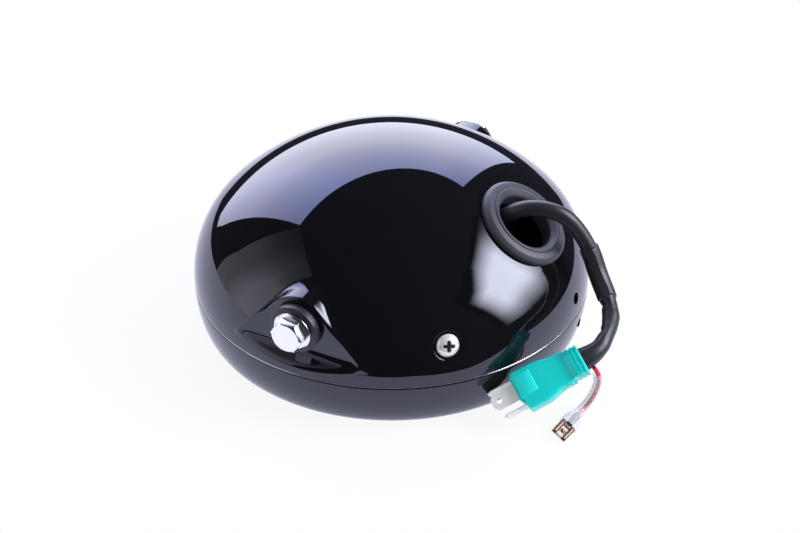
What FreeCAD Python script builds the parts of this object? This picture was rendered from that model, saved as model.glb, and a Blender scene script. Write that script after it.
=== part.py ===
import FreeCAD, Part
import math
import os

# A round motorbike headlight lying on its front rim. Millimetres, +Z up.
# The origin is the centre of the front rim on the floor, +Z is the lamp's rear.
# The two mounting bolts lie along X, and the cable leaves towards -Y, the lamp's underside.

# Steel bowl and trim ring
ring_radius = 96.0
seam_height = 24.6
seam_gap = 0.3
sheet = 1.2
bowl_band = 1.0
shoulder_radius = 47.4
dome_height = 67.7
ring_band = 1.8
ring_flare = 8.9
rim_width = 2.1
seat_depth = 8.0
seat_width = 3.5
lip_height = 4.5
lip_clearance = 0.5
seat_clearance = 0.3

# Pressed bolt pads, one on each side
pad_inset = 6.3
pad_line_above_seam = 9.7
pad_half_width = 31.0
pad_round = 14.5
pad_edge = 1.4
pad_draft = 0.42
ledge_slope = 0.55
recess_draft = 0.25
bolt_above_seam = 22.4

# Mounting bolts, spacers and nuts
bolt_radius = 5.0
bolt_flat = 14.0
bolt_flange_radius = 9.3
bolt_flange_height = 1.6
bolt_head_height = 5.0
bolt_head_turn = 14.0
bolt_crown = 0.8
bolt_end = 3.0
spacer_radius = 12.8
spacer_height = 4.5
spacer_edge = 0.8
pad_nut_flat = 16.0
pad_nut_height = 8.0
pad_nut_turn = 30.0
bolt_clearance = 0.3
thread_clearance = 0.05

# Cable opening and its rubber grommet
grommet_azimuth = -90.0
grommet_elevation = 54.5
grommet_bore = 14.0
grommet_neck = 5.0
grommet_flange = 3.3
grommet_height = 2.8
grommet_bevel = 2.2
grommet_round = 2.0
grommet_inner_lip = 2.4
grommet_inner_height = 3.0
grommet_fit = 0.3

# Screws that hold the ring, with their tabs and nuts
screw_azimuths = {"left": -137.0, "right": -43.0}
screw_elevation = 21.4
screw_radius = 2.5
screw_head_radius = 4.85
screw_head_height = 3.0
screw_length = 8.5
screw_clearance = 0.25
cross_width = 1.1
cross_span = 5.2
cross_depth = 1.9
dimple_radius = 5.7
dimple_depth = 0.8
tab_thickness = 1.5
tab_half_angle = 4.5
tab_gap = 1.0
tab_top_elevation = 31.0
hook_azimuth = 90.0
hook_top_elevation = 17.0
tab_nut_flat = 8.0
tab_nut_height = 4.0

# Small holes on the underside: one in the bowl's rim, one in the ring
rim_hole_azimuth = -88.0
rim_hole_elevation = 10.5
rim_hole_radius = 2.75
ring_hole_azimuth = -84.0
ring_hole_below_seam = 8.4
ring_hole_radius = 2.2

# LED unit
gasket_height = 1.0
lens_recess = 2.0
lens_edge_rise = 6.5
lens_thickness = 2.5
lens_clearance = 0.5
unit_flange_height = 4.3
unit_flange_width = 6.5
cavity_lip = 8.0
bezel_setback = 2.3
bezel_height = 1.6
bezel_shelf = 3.5
unit_depth = 30.3
unit_back_inset = 23.5
unit_wall = 4.5
unit_floor = 5.0
fin_pitch = 8.0
fin_thickness = 2.4
fin_height = 9.0
fin_margin = 2.0
fin_gap = 0.5
retainer_width = 5.5
retainer_split = 5.0
bowl_offset = 35.0
bowl_mouth = 30.0
bowl_throat = 7.0
bowl_wall = 1.2
bowl_fit = 0.2
board_size = 24.0
board_height = 1.6
emitter_size = 7.0
emitter_height = 0.7
halo_setback = 2.9
halo_width = 4.5
halo_height = 2.6
cover_offset = 12.0
cover_radius = 22.0
cover_height = 25.0
cover_edge = 3.0
cover_foot = 6.0
cover_foot_height = 2.5
cover_screw_count = 4
cover_screw_turn = 45.0
cover_screw_radius = 2.4
cover_screw_height = 1.6
gland_height = 17.0
gland_boss = 3.0
gland_boss_radius = 8.5
gland_flat = 14.0
gland_nut = 4.0
gland_nose = 3.0
gland_nose_radius = 5.4

# Cable with its sleeve, plug, wire and terminal
cable_radius = 3.75
sleeve_radius = 4.9
bare_run_count = 8
plug_rear = (-34.3, -114.0, 30.6)
plug_lead = 7.0
plug_yaw = 130.25
plug_pitch = 26.8
plug_roll = -35.4
plug_collar = (13.4, 12.0)
plug_neck = (15.2, 9.6)
plug_front = (19.0, 10.4)
plug_collar_length = 6.0
plug_neck_length = 6.5
plug_taper_length = 9.5
plug_front_length = 11.0
plug_corner = 2.0
plug_back_chamfer = 5.0
plug_rib_count = 4
plug_rib_width = 0.8
plug_rib_depth = 0.5
plug_panel = (8.6, 10.5)
plug_panel_height = 0.6
plug_panel_shift = -1.8
plug_notch = (2.2, 5.6)
blade_width = 8.0
blade_thickness = 0.8
blade_length = 12.0
blade_tip = 1.8
blade_hole_radius = 1.4
blade_hole_from_tip = 3.6
ground_blade_level = 2.6
ground_blade_offset = -1.0
side_blade_offset = 6.4
side_blade_level = -0.8
wire_radius = 1.0
wire_behind_plug = 2.5
wire_side = 0.0
wire_lead = 5.0
terminal_yaw = 172.3
terminal_roll = -28.0
terminal_front = (-56.4, -113.4)
terminal_length = 17.0
terminal_level = 3.2
terminal_width = 7.6
terminal_height = 2.6
terminal_plate = 0.45
terminal_box_length = 8.5
terminal_curl = 1.05
terminal_gap = 2.0
terminal_crimp_radius = 1.7
sleeve_cover_length = 13.0
sleeve_cover_back = 4.8
sleeve_cover_width = 7.2
sleeve_cover_height = 4.8
sleeve_cover_wall = 0.5
sleeve_cover_corner = 2.15

# Routes of the cable and of the wire, chosen by hand
cable_route = [
    (0.0, -31.0, 60.0),
    (-1.4, -42.5, 60.6),
    (-2.8, -53.2, 65.0),
    (-3.9, -60.4, 74.0),
    (-3.0, -68.8, 79.6),
    (-0.8, -78.3, 80.9),
    (2.0, -87.2, 78.2),
    (4.6, -94.0, 70.0),
    (5.0, -100.1, 60.5),
    (3.2, -104.9, 50.5),
    (-2.4, -112.6, 43.0),
    (-10.3, -117.5, 38.6),
    (-21.3, -120.1, 36.6),
]
wire_route = [
    (-34.6, -121.4, 26.5),
    (-32.5, -122.1, 20.0),
    (-31.5, -120.6, 13.0),
    (-31.9, -118.6, 7.0),
]

V = FreeCAD.Vector
origin = V(0, 0, 0)
up = V(0, 0, 1)

# Heights and radii that follow from the sizes above
ring_top = seam_height - seam_gap
bulge_top = ring_top - ring_band
rim_radius = ring_radius - ring_flare
rim_inner = rim_radius - rim_width
bowl_top = seam_height + dome_height
shoulder_centre = V(ring_radius - shoulder_radius, 0, seam_height + bowl_band)
rise = dome_height - bowl_band
crown_radius = (shoulder_centre.x**2 + rise**2 - shoulder_radius**2) / (2 * (rise - shoulder_radius))
crown_centre = V(0, 0, bowl_top - crown_radius)
tangent_elevation = math.atan2(shoulder_centre.z - crown_centre.z, shoulder_centre.x)
pad_plane = ring_radius - pad_inset
pad_line = seam_height + pad_line_above_seam
bolt_height = seam_height + bolt_above_seam
seat_top = seat_depth + sheet
unit_radius = rim_inner + sheet - seat_clearance
seat_inner = rim_inner - seat_width
lens_bottom = seat_top + gasket_height
unit_bottom = lens_bottom + lens_thickness
flange_top = unit_bottom + unit_flange_height
bezel_bottom = unit_bottom + bezel_setback
bezel_top = bezel_bottom + bezel_height
cavity_radius = unit_radius - cavity_lip
unit_back = unit_bottom + unit_depth
unit_inside_floor = unit_back - unit_floor
back_radius = unit_radius - unit_back_inset
board_bottom = unit_inside_floor - board_height


def rz(radius, height):
    return V(radius, 0, height)


def chain(points):
    return [Part.LineSegment(a, b).toShape() for a, b in zip(points, points[1:])]


def polar(centre, radius, elevation):
    return centre + rz(radius * math.cos(elevation), radius * math.sin(elevation))


def arc(centre, radius, start, end):
    middle = (start + end) / 2
    ends = [polar(centre, radius, a) for a in (start, middle, end)]
    return Part.Arc(*ends).toShape()


def quarter_ellipse(low, high):
    centre = rz(low.x, high.z)
    if high.z - low.z > high.x - low.x:
        whole = Part.Ellipse(low, high, centre)
        return Part.ArcOfEllipse(whole, 0, math.pi / 2).toShape()
    whole = Part.Ellipse(high, rz(low.x, 2 * high.z - low.z), centre)
    return Part.ArcOfEllipse(whole, 3 * math.pi / 2, 2 * math.pi).toShape()


def revolved(edges, sweep=360.0, azimuth=0.0):
    face = Part.Face(Part.Wire(Part.__sortEdges__(edges)))
    solid = face.revolve(origin, up, sweep)
    solid.rotate(origin, up, azimuth)
    return solid


def turned(points, sweep=360.0, azimuth=0.0):
    return revolved(chain(points + points[:1]), sweep, azimuth)


def cylinder(radius, start, direction, length):
    return Part.makeCylinder(radius, length, start, direction)


def hexagon(flat, start, direction, length, turn=0.0):
    corner = flat / 2 / math.cos(math.pi / 6)
    angles = [math.radians(60 * i + turn) for i in range(6)]
    points = [V(corner * math.cos(a), corner * math.sin(a), 0) for a in angles]
    prism = Part.Face(Part.makePolygon(points + points[:1])).extrude(V(0, 0, length))
    prism.Placement = FreeCAD.Placement(start, FreeCAD.Rotation(up, direction))
    return prism


def mirrored(shape):
    return shape.mirror(origin, V(1, 0, 0))


def fused(shapes):
    return shapes[0].multiFuse(shapes[1:]).removeSplitter()


def outward(azimuth, elevation):
    a, e = math.radians(azimuth), math.radians(elevation)
    return V(math.cos(e) * math.cos(a), math.cos(e) * math.sin(a), math.sin(e))


# A point above the bowl's surface, where its normal has this azimuth and elevation
def on_bowl(azimuth, elevation, lift=0.0):
    e = math.radians(elevation)
    on_crown = e > tangent_elevation
    centre = crown_centre if on_crown else shoulder_centre
    radius = crown_radius if on_crown else shoulder_radius
    spot = polar(centre, radius + lift, e)
    return FreeCAD.Rotation(up, azimuth).multVec(spot)


# The bowl's form without its pads, inset by a wall and open or closed below
def dome(inset, bottom):
    wall = ring_radius - inset
    shoulder = arc(shoulder_centre, shoulder_radius - inset, 0, tangent_elevation)
    crown = arc(crown_centre, crown_radius - inset, tangent_elevation, math.pi / 2)
    sides = chain([rz(0, bowl_top - inset), rz(0, bottom), rz(wall, bottom), rz(wall, shoulder_centre.z)])
    return revolved(sides + [shoulder, crown])


# The pad's outline at one plane: a straight foot, two slanting sides and a round top about the bolt
def pad_outline(x, grow, foot):
    radius, half = pad_round + grow, pad_half_width + grow
    reach = math.hypot(half, bolt_height - foot)
    lean = math.atan2(foot - bolt_height, half) + math.acos(radius / reach)
    touch = V(x, radius * math.cos(lean), bolt_height + radius * math.sin(lean))
    top = V(x, 0, bolt_height + radius)
    corner = V(x, half, foot)
    other_touch, other_corner = V(x, -touch.y, touch.z), V(x, -half, foot)
    edges = chain([other_touch, other_corner, corner, touch])
    edges.append(Part.Arc(touch, top, other_touch).toShape())
    return Part.Wire(Part.__sortEdges__(edges))


# The pad stands proud of the bowl above and is sunk into it below
def with_pads(body, inset):
    face = pad_plane - inset
    depth = shoulder_radius / 2
    reach = pad_inset + shoulder_radius / 4
    raised = Part.makeLoft(
        [
            pad_outline(face, -pad_edge - inset, pad_line + inset),
            pad_outline(face - pad_edge, -inset, pad_line + inset),
            pad_outline(face - depth, pad_draft * depth - inset, pad_line + inset),
        ],
        True,
        True,
    )
    sunk = Part.makeLoft(
        [
            pad_outline(face, inset - pad_edge, pad_line - inset),
            pad_outline(face + reach, inset + recess_draft * reach, pad_line - inset - ledge_slope * reach),
        ],
        True,
        True,
    )
    body = body.multiFuse([raised, mirrored(raised)])
    return body.cut(Part.makeCompound([sunk, mirrored(sunk)]))


def bucket_shell():
    inner_bottom = seam_height - lip_height
    outside = with_pads(dome(0, seam_height), 0)
    inside = with_pads(dome(sheet, inner_bottom), sheet)
    cuts = []
    for azimuth in screw_azimuths.values():
        normal = outward(azimuth, screw_elevation)
        seat = on_bowl(azimuth, screw_elevation, -dimple_depth)
        outside = outside.cut(cylinder(dimple_radius, seat, normal, dimple_radius))
        back = on_bowl(azimuth, screw_elevation, -dimple_depth - sheet)
        inside = inside.cut(cylinder(dimple_radius + sheet, back, normal, dimple_radius))
        cuts.append(cylinder(screw_radius + screw_clearance, back - normal, normal, dimple_radius))
    bolt_hole = bolt_radius + bolt_clearance
    cuts.append(cylinder(bolt_hole, V(-ring_radius, 0, bolt_height), V(1, 0, 0), 2 * ring_radius))
    grommet_normal = outward(grommet_azimuth, grommet_elevation)
    deep = on_bowl(grommet_azimuth, grommet_elevation, -shoulder_radius / 4)
    neck = grommet_bore + grommet_neck + grommet_fit
    cuts.append(cylinder(neck, deep, grommet_normal, shoulder_radius / 2))
    hole_normal = outward(rim_hole_azimuth, rim_hole_elevation)
    hole_start = on_bowl(rim_hole_azimuth, rim_hole_elevation, -2 * sheet)
    cuts.append(cylinder(rim_hole_radius, hole_start, hole_normal, 4 * sheet))
    return outside.cut(inside).cut(Part.makeCompound(cuts))


def trim_ring():
    lip_outer = ring_radius - sheet - lip_clearance
    lip_inner = lip_outer - sheet
    wall_inner = ring_radius - sheet
    under_lip = ring_top - sheet
    outer_curve = quarter_ellipse(rz(rim_radius, 0), rz(ring_radius, bulge_top))
    inner_curve = quarter_ellipse(rz(rim_radius + sheet, sheet), rz(wall_inner, bulge_top))
    back = chain(
        [
            rz(ring_radius, bulge_top),
            rz(ring_radius, ring_top),
            rz(lip_outer, ring_top),
            rz(lip_outer, seam_height + lip_height),
            rz(lip_inner, seam_height + lip_height),
            rz(lip_inner, under_lip),
            rz(wall_inner, under_lip),
            rz(wall_inner, bulge_top),
        ]
    )
    front = chain(
        [
            rz(rim_radius + sheet, sheet),
            rz(rim_inner + sheet, sheet),
            rz(rim_inner + sheet, seat_top),
            rz(seat_inner, seat_top),
            rz(seat_inner, seat_depth),
            rz(rim_inner, seat_depth),
            rz(rim_inner, 0),
            rz(rim_radius, 0),
        ]
    )
    ring = revolved([outer_curve, inner_curve] + back + front)
    along = outward(ring_hole_azimuth, 0)
    start = along * (rim_inner + 2 * sheet) + up * (seam_height - ring_hole_below_seam)
    return ring.cut(cylinder(ring_hole_radius, start, along, ring_flare + rim_width))


# A strip that is welded inside the ring's lip and follows the bowl's inside
def ring_strip(azimuth, gap, top_elevation):
    outer = ring_radius - 2 * sheet - lip_clearance
    inner = outer - tab_thickness
    outer_arc = shoulder_radius - sheet - gap
    inner_arc = outer_arc - tab_thickness
    top = math.radians(top_elevation)
    outer_start = math.acos((outer - shoulder_centre.x) / outer_arc)
    inner_start = math.acos((inner - shoulder_centre.x) / inner_arc)
    edges = [
        arc(shoulder_centre, outer_arc, outer_start, top),
        arc(shoulder_centre, inner_arc, inner_start, top),
    ]
    edges += chain([polar(shoulder_centre, outer_arc, top), polar(shoulder_centre, inner_arc, top)])
    edges += chain(
        [
            polar(shoulder_centre, outer_arc, outer_start),
            rz(outer, seam_height),
            rz(inner, seam_height),
            polar(shoulder_centre, inner_arc, inner_start),
        ]
    )
    return revolved(edges, 2 * tab_half_angle, azimuth - tab_half_angle)


def ring_tab(azimuth):
    normal = outward(azimuth, screw_elevation)
    start = on_bowl(azimuth, screw_elevation, -shoulder_radius / 4)
    hole = cylinder(screw_radius + screw_clearance, start, normal, shoulder_radius / 4)
    return ring_strip(azimuth, tab_gap, tab_top_elevation).cut(hole)


def tab_nut(azimuth):
    normal = outward(azimuth, screw_elevation)
    face = sheet + tab_gap + tab_thickness + seat_clearance
    start = on_bowl(azimuth, screw_elevation, -face)
    nut = hexagon(tab_nut_flat, start, normal * -1, tab_nut_height)
    return nut.cut(cylinder(screw_radius + thread_clearance, start, normal * -1, tab_nut_height))


def ring_screw(azimuth):
    normal = outward(azimuth, screw_elevation)
    seat = on_bowl(azimuth, screw_elevation, -dimple_depth)
    crown = (screw_head_radius**2 + screw_head_height**2) / (2 * screw_head_height)
    ball = Part.makeSphere(crown, seat + normal * (screw_head_height - crown))
    head = ball.common(cylinder(screw_head_radius, seat, normal, screw_head_height))
    shank = cylinder(screw_radius, seat, normal * -1, screw_length)
    screw = head.fuse(shank)
    slot_start = screw_head_height - cross_depth
    for length, width in ((cross_span, cross_width), (cross_width, cross_span)):
        slot = Part.makeBox(length, width, screw_head_height, V(-length / 2, -width / 2, slot_start))
        slot.Placement = FreeCAD.Placement(seat, FreeCAD.Rotation(up, normal)).multiply(slot.Placement)
        screw = screw.cut(slot)
    return screw


def mount_bolt():
    along = V(1, 0, 0)
    seat = V(pad_plane + spacer_height, 0, bolt_height)
    flange = cylinder(bolt_flange_radius, seat, along, bolt_flange_height)
    head_start = seat + along * bolt_flange_height
    head = hexagon(bolt_flat, head_start, along, bolt_head_height, bolt_head_turn)
    corner = bolt_flat / 2 / math.cos(math.pi / 6)
    trim = Part.makeCone(corner + bolt_head_height - bolt_crown, corner - bolt_crown, bolt_head_height,
                         head_start, along)
    end = pad_plane - sheet - pad_nut_height - bolt_end
    shank = cylinder(bolt_radius, V(end, 0, bolt_height), along, seat.x - end)
    return fused([flange, head.common(trim), shank])


def bolt_spacer():
    along = V(1, 0, 0)
    seat = V(pad_plane, 0, bolt_height)
    body = cylinder(spacer_radius, seat, along, spacer_height)
    middle = seat.x + spacer_height / 2
    rim = [e for e in body.Edges if e.Length > 2 * spacer_radius and e.BoundBox.XMin > middle]
    body = body.makeFillet(spacer_edge, rim)
    return body.cut(cylinder(bolt_radius + bolt_clearance, seat, along, spacer_height))


def pad_nut():
    along = V(-1, 0, 0)
    seat = V(pad_plane - sheet, 0, bolt_height)
    nut = hexagon(pad_nut_flat, seat, along, pad_nut_height, pad_nut_turn)
    return nut.cut(cylinder(bolt_radius + thread_clearance, seat, along, pad_nut_height))


# Rubber grommet: an outer flange on the bowl, a groove for the sheet and an inner lip
def cable_grommet():
    neck = grommet_bore + grommet_neck
    edge = neck + grommet_flange
    surface = lambda r: math.sqrt(crown_radius**2 - r**2) - crown_radius
    groove_top = surface(neck) + grommet_fit / 3
    lip = neck + grommet_inner_lip
    groove_bottom = surface(lip) - sheet - grommet_fit
    round_centre = rz(edge - grommet_round, grommet_height - grommet_round)
    outline = chain(
        [
            polar(round_centre, grommet_round, 0),
            rz(edge, surface(edge) + grommet_fit),
            rz(neck, groove_top),
            rz(neck, groove_bottom),
            rz(lip, groove_bottom),
            rz(lip, groove_bottom - grommet_inner_height / 2),
            rz(neck, groove_bottom - grommet_inner_height),
            rz(grommet_bore, groove_bottom - grommet_inner_height),
            rz(grommet_bore, grommet_height - grommet_bevel),
            rz(grommet_bore + grommet_bevel / 2, grommet_height),
            polar(round_centre, grommet_round, math.pi / 2),
        ]
    )
    body = revolved(outline + [arc(round_centre, grommet_round, 0, math.pi / 2)])
    seat = on_bowl(grommet_azimuth, grommet_elevation)
    normal = outward(grommet_azimuth, grommet_elevation)
    body.Placement = FreeCAD.Placement(seat, FreeCAD.Rotation(up, normal))
    return body


def retaining_ring():
    edge = ring_radius - sheet - lip_clearance
    top = ring_top - sheet - seat_clearance / 3
    inner = unit_radius - retainer_width
    bend = unit_radius + sheet
    step = edge - 2 * sheet
    section = [
        rz(inner, flange_top),
        rz(bend, flange_top),
        rz(step + sheet, top - sheet),
        rz(edge, top - sheet),
        rz(edge, top),
        rz(step, top),
        rz(bend - sheet, flange_top + sheet),
        rz(inner, flange_top + sheet),
    ]
    return turned(section, 360 - retainer_split, hook_azimuth + retainer_split / 2)


def lens_gasket():
    section = [
        rz(seat_inner + lens_clearance, seat_top),
        rz(unit_radius, seat_top),
        rz(unit_radius, lens_bottom),
        rz(seat_inner + lens_clearance, lens_bottom),
    ]
    return turned(section)


def lens_cap(edge_radius, apex, edge_height):
    sag = edge_height - apex
    radius = (edge_radius**2 + sag**2) / (2 * sag)
    middle = edge_radius / 2
    drop = radius - math.sqrt(radius**2 - middle**2)
    return Part.Arc(rz(0, apex), rz(middle, apex + drop), rz(edge_radius, edge_height)).toShape()


def lens_cover():
    outer = seat_inner - lens_clearance
    inner = outer - lens_thickness
    edge = lens_recess + lens_edge_rise
    outside = lens_cap(outer, lens_recess, edge)
    inside = lens_cap(inner, lens_recess + lens_thickness, edge + lens_thickness / 2)
    wall = chain(
        [
            rz(outer, edge),
            rz(outer, lens_bottom),
            rz(unit_radius, lens_bottom),
            rz(unit_radius, unit_bottom),
            rz(inner, unit_bottom),
            rz(inner, edge + lens_thickness / 2),
        ]
    )
    axis = chain([rz(0, lens_recess), rz(0, lens_recess + lens_thickness)])
    return revolved([outside, inside] + wall + axis)


def heat_sink_housing():
    shelf = cavity_radius - bezel_shelf
    foot = back_radius - unit_wall
    shoulder = unit_radius - unit_flange_width
    section = [
        rz(cavity_radius, unit_bottom),
        rz(unit_radius, unit_bottom),
        rz(unit_radius, flange_top),
        rz(shoulder, flange_top),
        rz(back_radius, unit_back),
        rz(0, unit_back),
        rz(0, unit_inside_floor),
        rz(foot, unit_inside_floor),
        rz(shelf, bezel_top),
        rz(cavity_radius, bezel_top),
    ]
    body = turned(section)
    field = back_radius - fin_margin
    count = int(field / fin_pitch)
    fins = []
    for i in range(-count, count + 1):
        half = math.sqrt(field**2 - (abs(i * fin_pitch) + fin_thickness / 2) ** 2)
        corner = V(i * fin_pitch - fin_thickness / 2, -half, unit_back)
        fins.append(Part.makeBox(fin_thickness, 2 * half, fin_height, corner))
    clear = cylinder(cover_radius + cover_foot + fin_gap, V(0, cover_offset, unit_back), up, fin_height)
    fins = Part.makeCompound(fins).cut(clear)
    return fused([body] + fins.Solids)


def front_bezel():
    plate = cylinder(cavity_radius - seat_clearance, V(0, 0, bezel_bottom), up, bezel_height)
    for side in (1, -1):
        spot = V(0, side * bowl_offset, bezel_bottom)
        plate = plate.cut(cylinder(bowl_mouth + bowl_wall + bowl_fit, spot, up, bezel_height))
    return plate


def halo_light_guide():
    outer = cavity_radius - halo_setback
    inner = outer - halo_width
    section = [
        rz(inner, bezel_bottom - halo_height),
        rz(outer, bezel_bottom - halo_height),
        rz(outer, bezel_bottom),
        rz(inner, bezel_bottom),
    ]
    return turned(section)


# A parabolic bowl between its mouth at the bezel and its throat at the board
def beam_reflector(side):
    depth = board_bottom - bezel_bottom
    spread = (bowl_mouth**2 - bowl_throat**2) / depth
    half_way = bezel_bottom + depth / 2
    middle = math.sqrt(bowl_mouth**2 - spread * depth / 2)

    def curve(grow):
        ends = ((bowl_mouth, bezel_bottom), (middle, half_way), (bowl_throat, board_bottom))
        return [rz(r + grow, h) for r, h in ends]

    inner, outer = curve(0), curve(bowl_wall)
    edges = [Part.Arc(*inner).toShape(), Part.Arc(*outer).toShape()]
    edges += chain([inner[0], outer[0]]) + chain([inner[2], outer[2]])
    bowl = revolved(edges)
    bowl.translate(V(0, side * bowl_offset, 0))
    return bowl


def led_board(side):
    corner = V(-board_size / 2, side * bowl_offset - board_size / 2, board_bottom)
    return Part.makeBox(board_size, board_size, board_height, corner)


def led_emitters():
    half = emitter_size / 2
    low = board_bottom - emitter_height
    chips = []
    for side in (1, -1):
        corner = V(-half, side * bowl_offset - half, low)
        chips.append(Part.makeBox(emitter_size, emitter_size, emitter_height, corner))
    return Part.makeCompound(chips)


def driver_cover():
    centre = V(0, cover_offset, unit_back)
    foot = cylinder(cover_radius + cover_foot, centre, up, cover_foot_height)
    body = cylinder(cover_radius, centre, up, cover_height)
    middle = unit_back + cover_height / 2
    top = [e for e in body.Edges if e.BoundBox.ZMin > middle and e.Length > cover_radius]
    body = body.makeFillet(cover_edge, top)
    boss_start = V(0, cover_offset, unit_back + gland_height)
    boss = cylinder(gland_boss_radius, boss_start, V(0, -1, 0), cover_radius + gland_boss)
    return fused([foot, body, boss])


def driver_screws():
    ring = cover_radius + cover_foot / 2
    screws = []
    for i in range(cover_screw_count):
        turn = math.radians(cover_screw_turn + 360 * i / cover_screw_count)
        spot = V(ring * math.cos(turn), cover_offset + ring * math.sin(turn), unit_back + cover_foot_height)
        head = cylinder(cover_screw_radius, spot, up, cover_screw_height)
        socket = hexagon(cover_screw_radius, spot + up * (cover_screw_height / 2), up, cover_screw_height)
        screws.append(head.cut(socket))
    return Part.makeCompound(screws)


def cable_gland():
    along = V(0, -1, 0)
    start = V(0, cover_offset - cover_radius - gland_boss, unit_back + gland_height)
    nut = hexagon(gland_flat, start, along, gland_nut)
    nose = Part.makeCone(gland_flat / 2, gland_nose_radius, gland_nose, start + along * gland_nut, along)
    return fused([nut, nose])


# Straight runs joined by arcs that are as large as the runs allow
def route_edges(points, name):
    points = [V(*p) for p in points]
    edges, radii, last = [], [], points[0]
    for before, at, after in zip(points, points[1:], points[2:]):
        back, on = before - at, after - at
        reach = 0.45 * min(back.Length, on.Length)
        back.normalize()
        on.normalize()
        half_turn = (math.pi - back.getAngle(on)) / 2
        radius = reach / math.tan(half_turn)
        start, end = at + back * reach, at + on * reach
        inward = back + on
        inward.normalize()
        middle = at + inward * (radius / math.cos(half_turn) - radius)
        edges += [Part.LineSegment(last, start).toShape(), Part.Arc(start, middle, end).toShape()]
        radii.append(radius)
        last = end
    edges.append(Part.LineSegment(last, points[-1]).toShape())
    print(name, "radii", [round(r, 1) for r in radii])
    return edges


def tube(edges, radius, name):
    path = Part.Wire(edges)
    start = edges[0].valueAt(edges[0].FirstParameter)
    section = Part.Wire(Part.makeCircle(radius, start, edges[0].tangentAt(edges[0].FirstParameter)))
    solid = path.makePipeShell([section], True, False)
    expected = math.pi * radius**2 * path.Length
    print(name, "length", round(path.Length, 1), "volume share", round(solid.Volume / expected, 4))
    return solid


# The cable shows from its gland to the sleeve's edge, in the middle of one straight run
plug_placement = FreeCAD.Placement(V(*plug_rear), FreeCAD.Rotation(plug_yaw, plug_pitch, plug_roll))
gland_end = cover_offset - cover_radius - gland_boss - gland_nut - gland_nose
gland_face = (0.0, gland_end, unit_back + gland_height)
plug_axis = plug_placement.Rotation.multVec(V(1, 0, 0))
plug_approach = tuple(V(*plug_rear) - plug_axis * plug_lead)
cable_edges = route_edges([gland_face] + cable_route + [plug_approach, plug_rear], "cable")
split_run = cable_edges[2 * bare_run_count]
split_ends = [v.Point for v in split_run.Vertexes]
split_point = (split_ends[0] + split_ends[1]) / 2
cable_part = cable_edges[: 2 * bare_run_count] + chain([split_ends[0], split_point])
sleeve_part = chain([split_point, split_ends[1]]) + cable_edges[2 * bare_run_count + 1 :]


def lamp_cable():
    return tube(cable_part, cable_radius, "lamp_cable")


def cable_sleeve():
    return tube(sleeve_part, sleeve_radius, "cable_sleeve")


def rounded_box(size, corner, start, length, end_size=None):
    def section(width, height, x):
        plate = Part.makePlane(width, height, V(x, -width / 2, -height / 2), V(1, 0, 0), V(0, 1, 0))
        outline = plate.OuterWire
        points = [v.Point for v in outline.OrderedVertexes]
        edges = []
        for i, at in enumerate(points):
            back = (points[i - 1] - at).normalize()
            on = (points[(i + 1) % 4] - at).normalize()
            start_point, end_point = at + back * corner, at + on * corner
            bulge = at + (back + on) * (corner * (1 - math.sqrt(0.5)))
            edges.append(Part.Arc(start_point, bulge, end_point).toShape())
            next_at = points[(i + 1) % 4]
            edges.append(Part.LineSegment(end_point, next_at - on * corner).toShape())
        return Part.Wire(edges)

    end_size = end_size or size
    return Part.makeLoft([section(*size, start), section(*end_size, start + length)], True, True)


# The plug lies along local X, rear to front; its wide face looks along local Z
def plug_body():
    neck_start = plug_collar_length
    taper_start = neck_start + plug_neck_length
    front_start = taper_start + plug_taper_length
    length = front_start + plug_front_length
    body = [
        rounded_box(plug_collar, plug_corner, 0, plug_collar_length),
        rounded_box(plug_neck, plug_corner, neck_start, plug_neck_length),
        rounded_box(plug_neck, plug_corner, taper_start, plug_taper_length, plug_front),
        rounded_box(plug_front, plug_corner, front_start, plug_front_length),
    ]
    rib_step = plug_neck_length / plug_rib_count
    rib_size = tuple(s + 2 * plug_rib_depth for s in plug_neck)
    for i in range(plug_rib_count):
        rib_start = neck_start + rib_step * (i + 0.5)
        body.append(rounded_box(rib_size, plug_corner, rib_start, plug_rib_width))
    panel_corner = V(length - plug_panel[0] - plug_corner / 2, plug_panel_shift - plug_panel[1] / 2, 0)
    panel = Part.makeBox(plug_panel[0], plug_panel[1], plug_front[1] / 2 + plug_panel_height, panel_corner)
    plug = fused(body + [panel])
    notch_corner = V(length - plug_notch[0], plug_front[0] / 2 - plug_notch[1], -plug_front[1])
    plug = plug.cut(Part.makeBox(plug_notch[0], plug_front[0], 2 * plug_front[1], notch_corner))
    half, back, cut = plug_front[0] / 2, plug_front[1] / 2, plug_back_chamfer
    for side in (1, -1):
        corner = V(0, side * half, -back)
        ends = [corner - V(0, side * cut, 0), corner + V(0, 0, cut)]
        beyond = V(0, side * cut, -cut)
        ends = [ends[0], ends[0] + beyond, ends[1] + beyond, ends[1], ends[0]]
        plug = plug.cut(Part.Face(Part.makePolygon(ends)).extrude(V(length, 0, 0)))
    plug.Placement = plug_placement
    return plug


def blade(level, offset, upright, hole):
    half, tip = blade_width / 2, blade_tip
    points = [
        V(0, -half, 0),
        V(blade_length - tip, -half, 0),
        V(blade_length, tip - half, 0),
        V(blade_length, half - tip, 0),
        V(blade_length - tip, half, 0),
        V(0, half, 0),
    ]
    flat = Part.Face(Part.makePolygon(points + points[:1])).extrude(V(0, 0, blade_thickness))
    flat.translate(V(0, 0, -blade_thickness / 2))
    if hole:
        spot = V(blade_length - blade_hole_from_tip, 0, -blade_thickness)
        flat = flat.cut(cylinder(blade_hole_radius, spot, up, 2 * blade_thickness))
    if upright:
        flat.rotate(origin, V(1, 0, 0), 90)
    front = plug_collar_length + plug_neck_length + plug_taper_length + plug_front_length
    front -= plug_notch[0] if offset > 0 else 0
    flat.translate(V(front, offset, level))
    flat.Placement = plug_placement.multiply(flat.Placement)
    return flat


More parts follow.
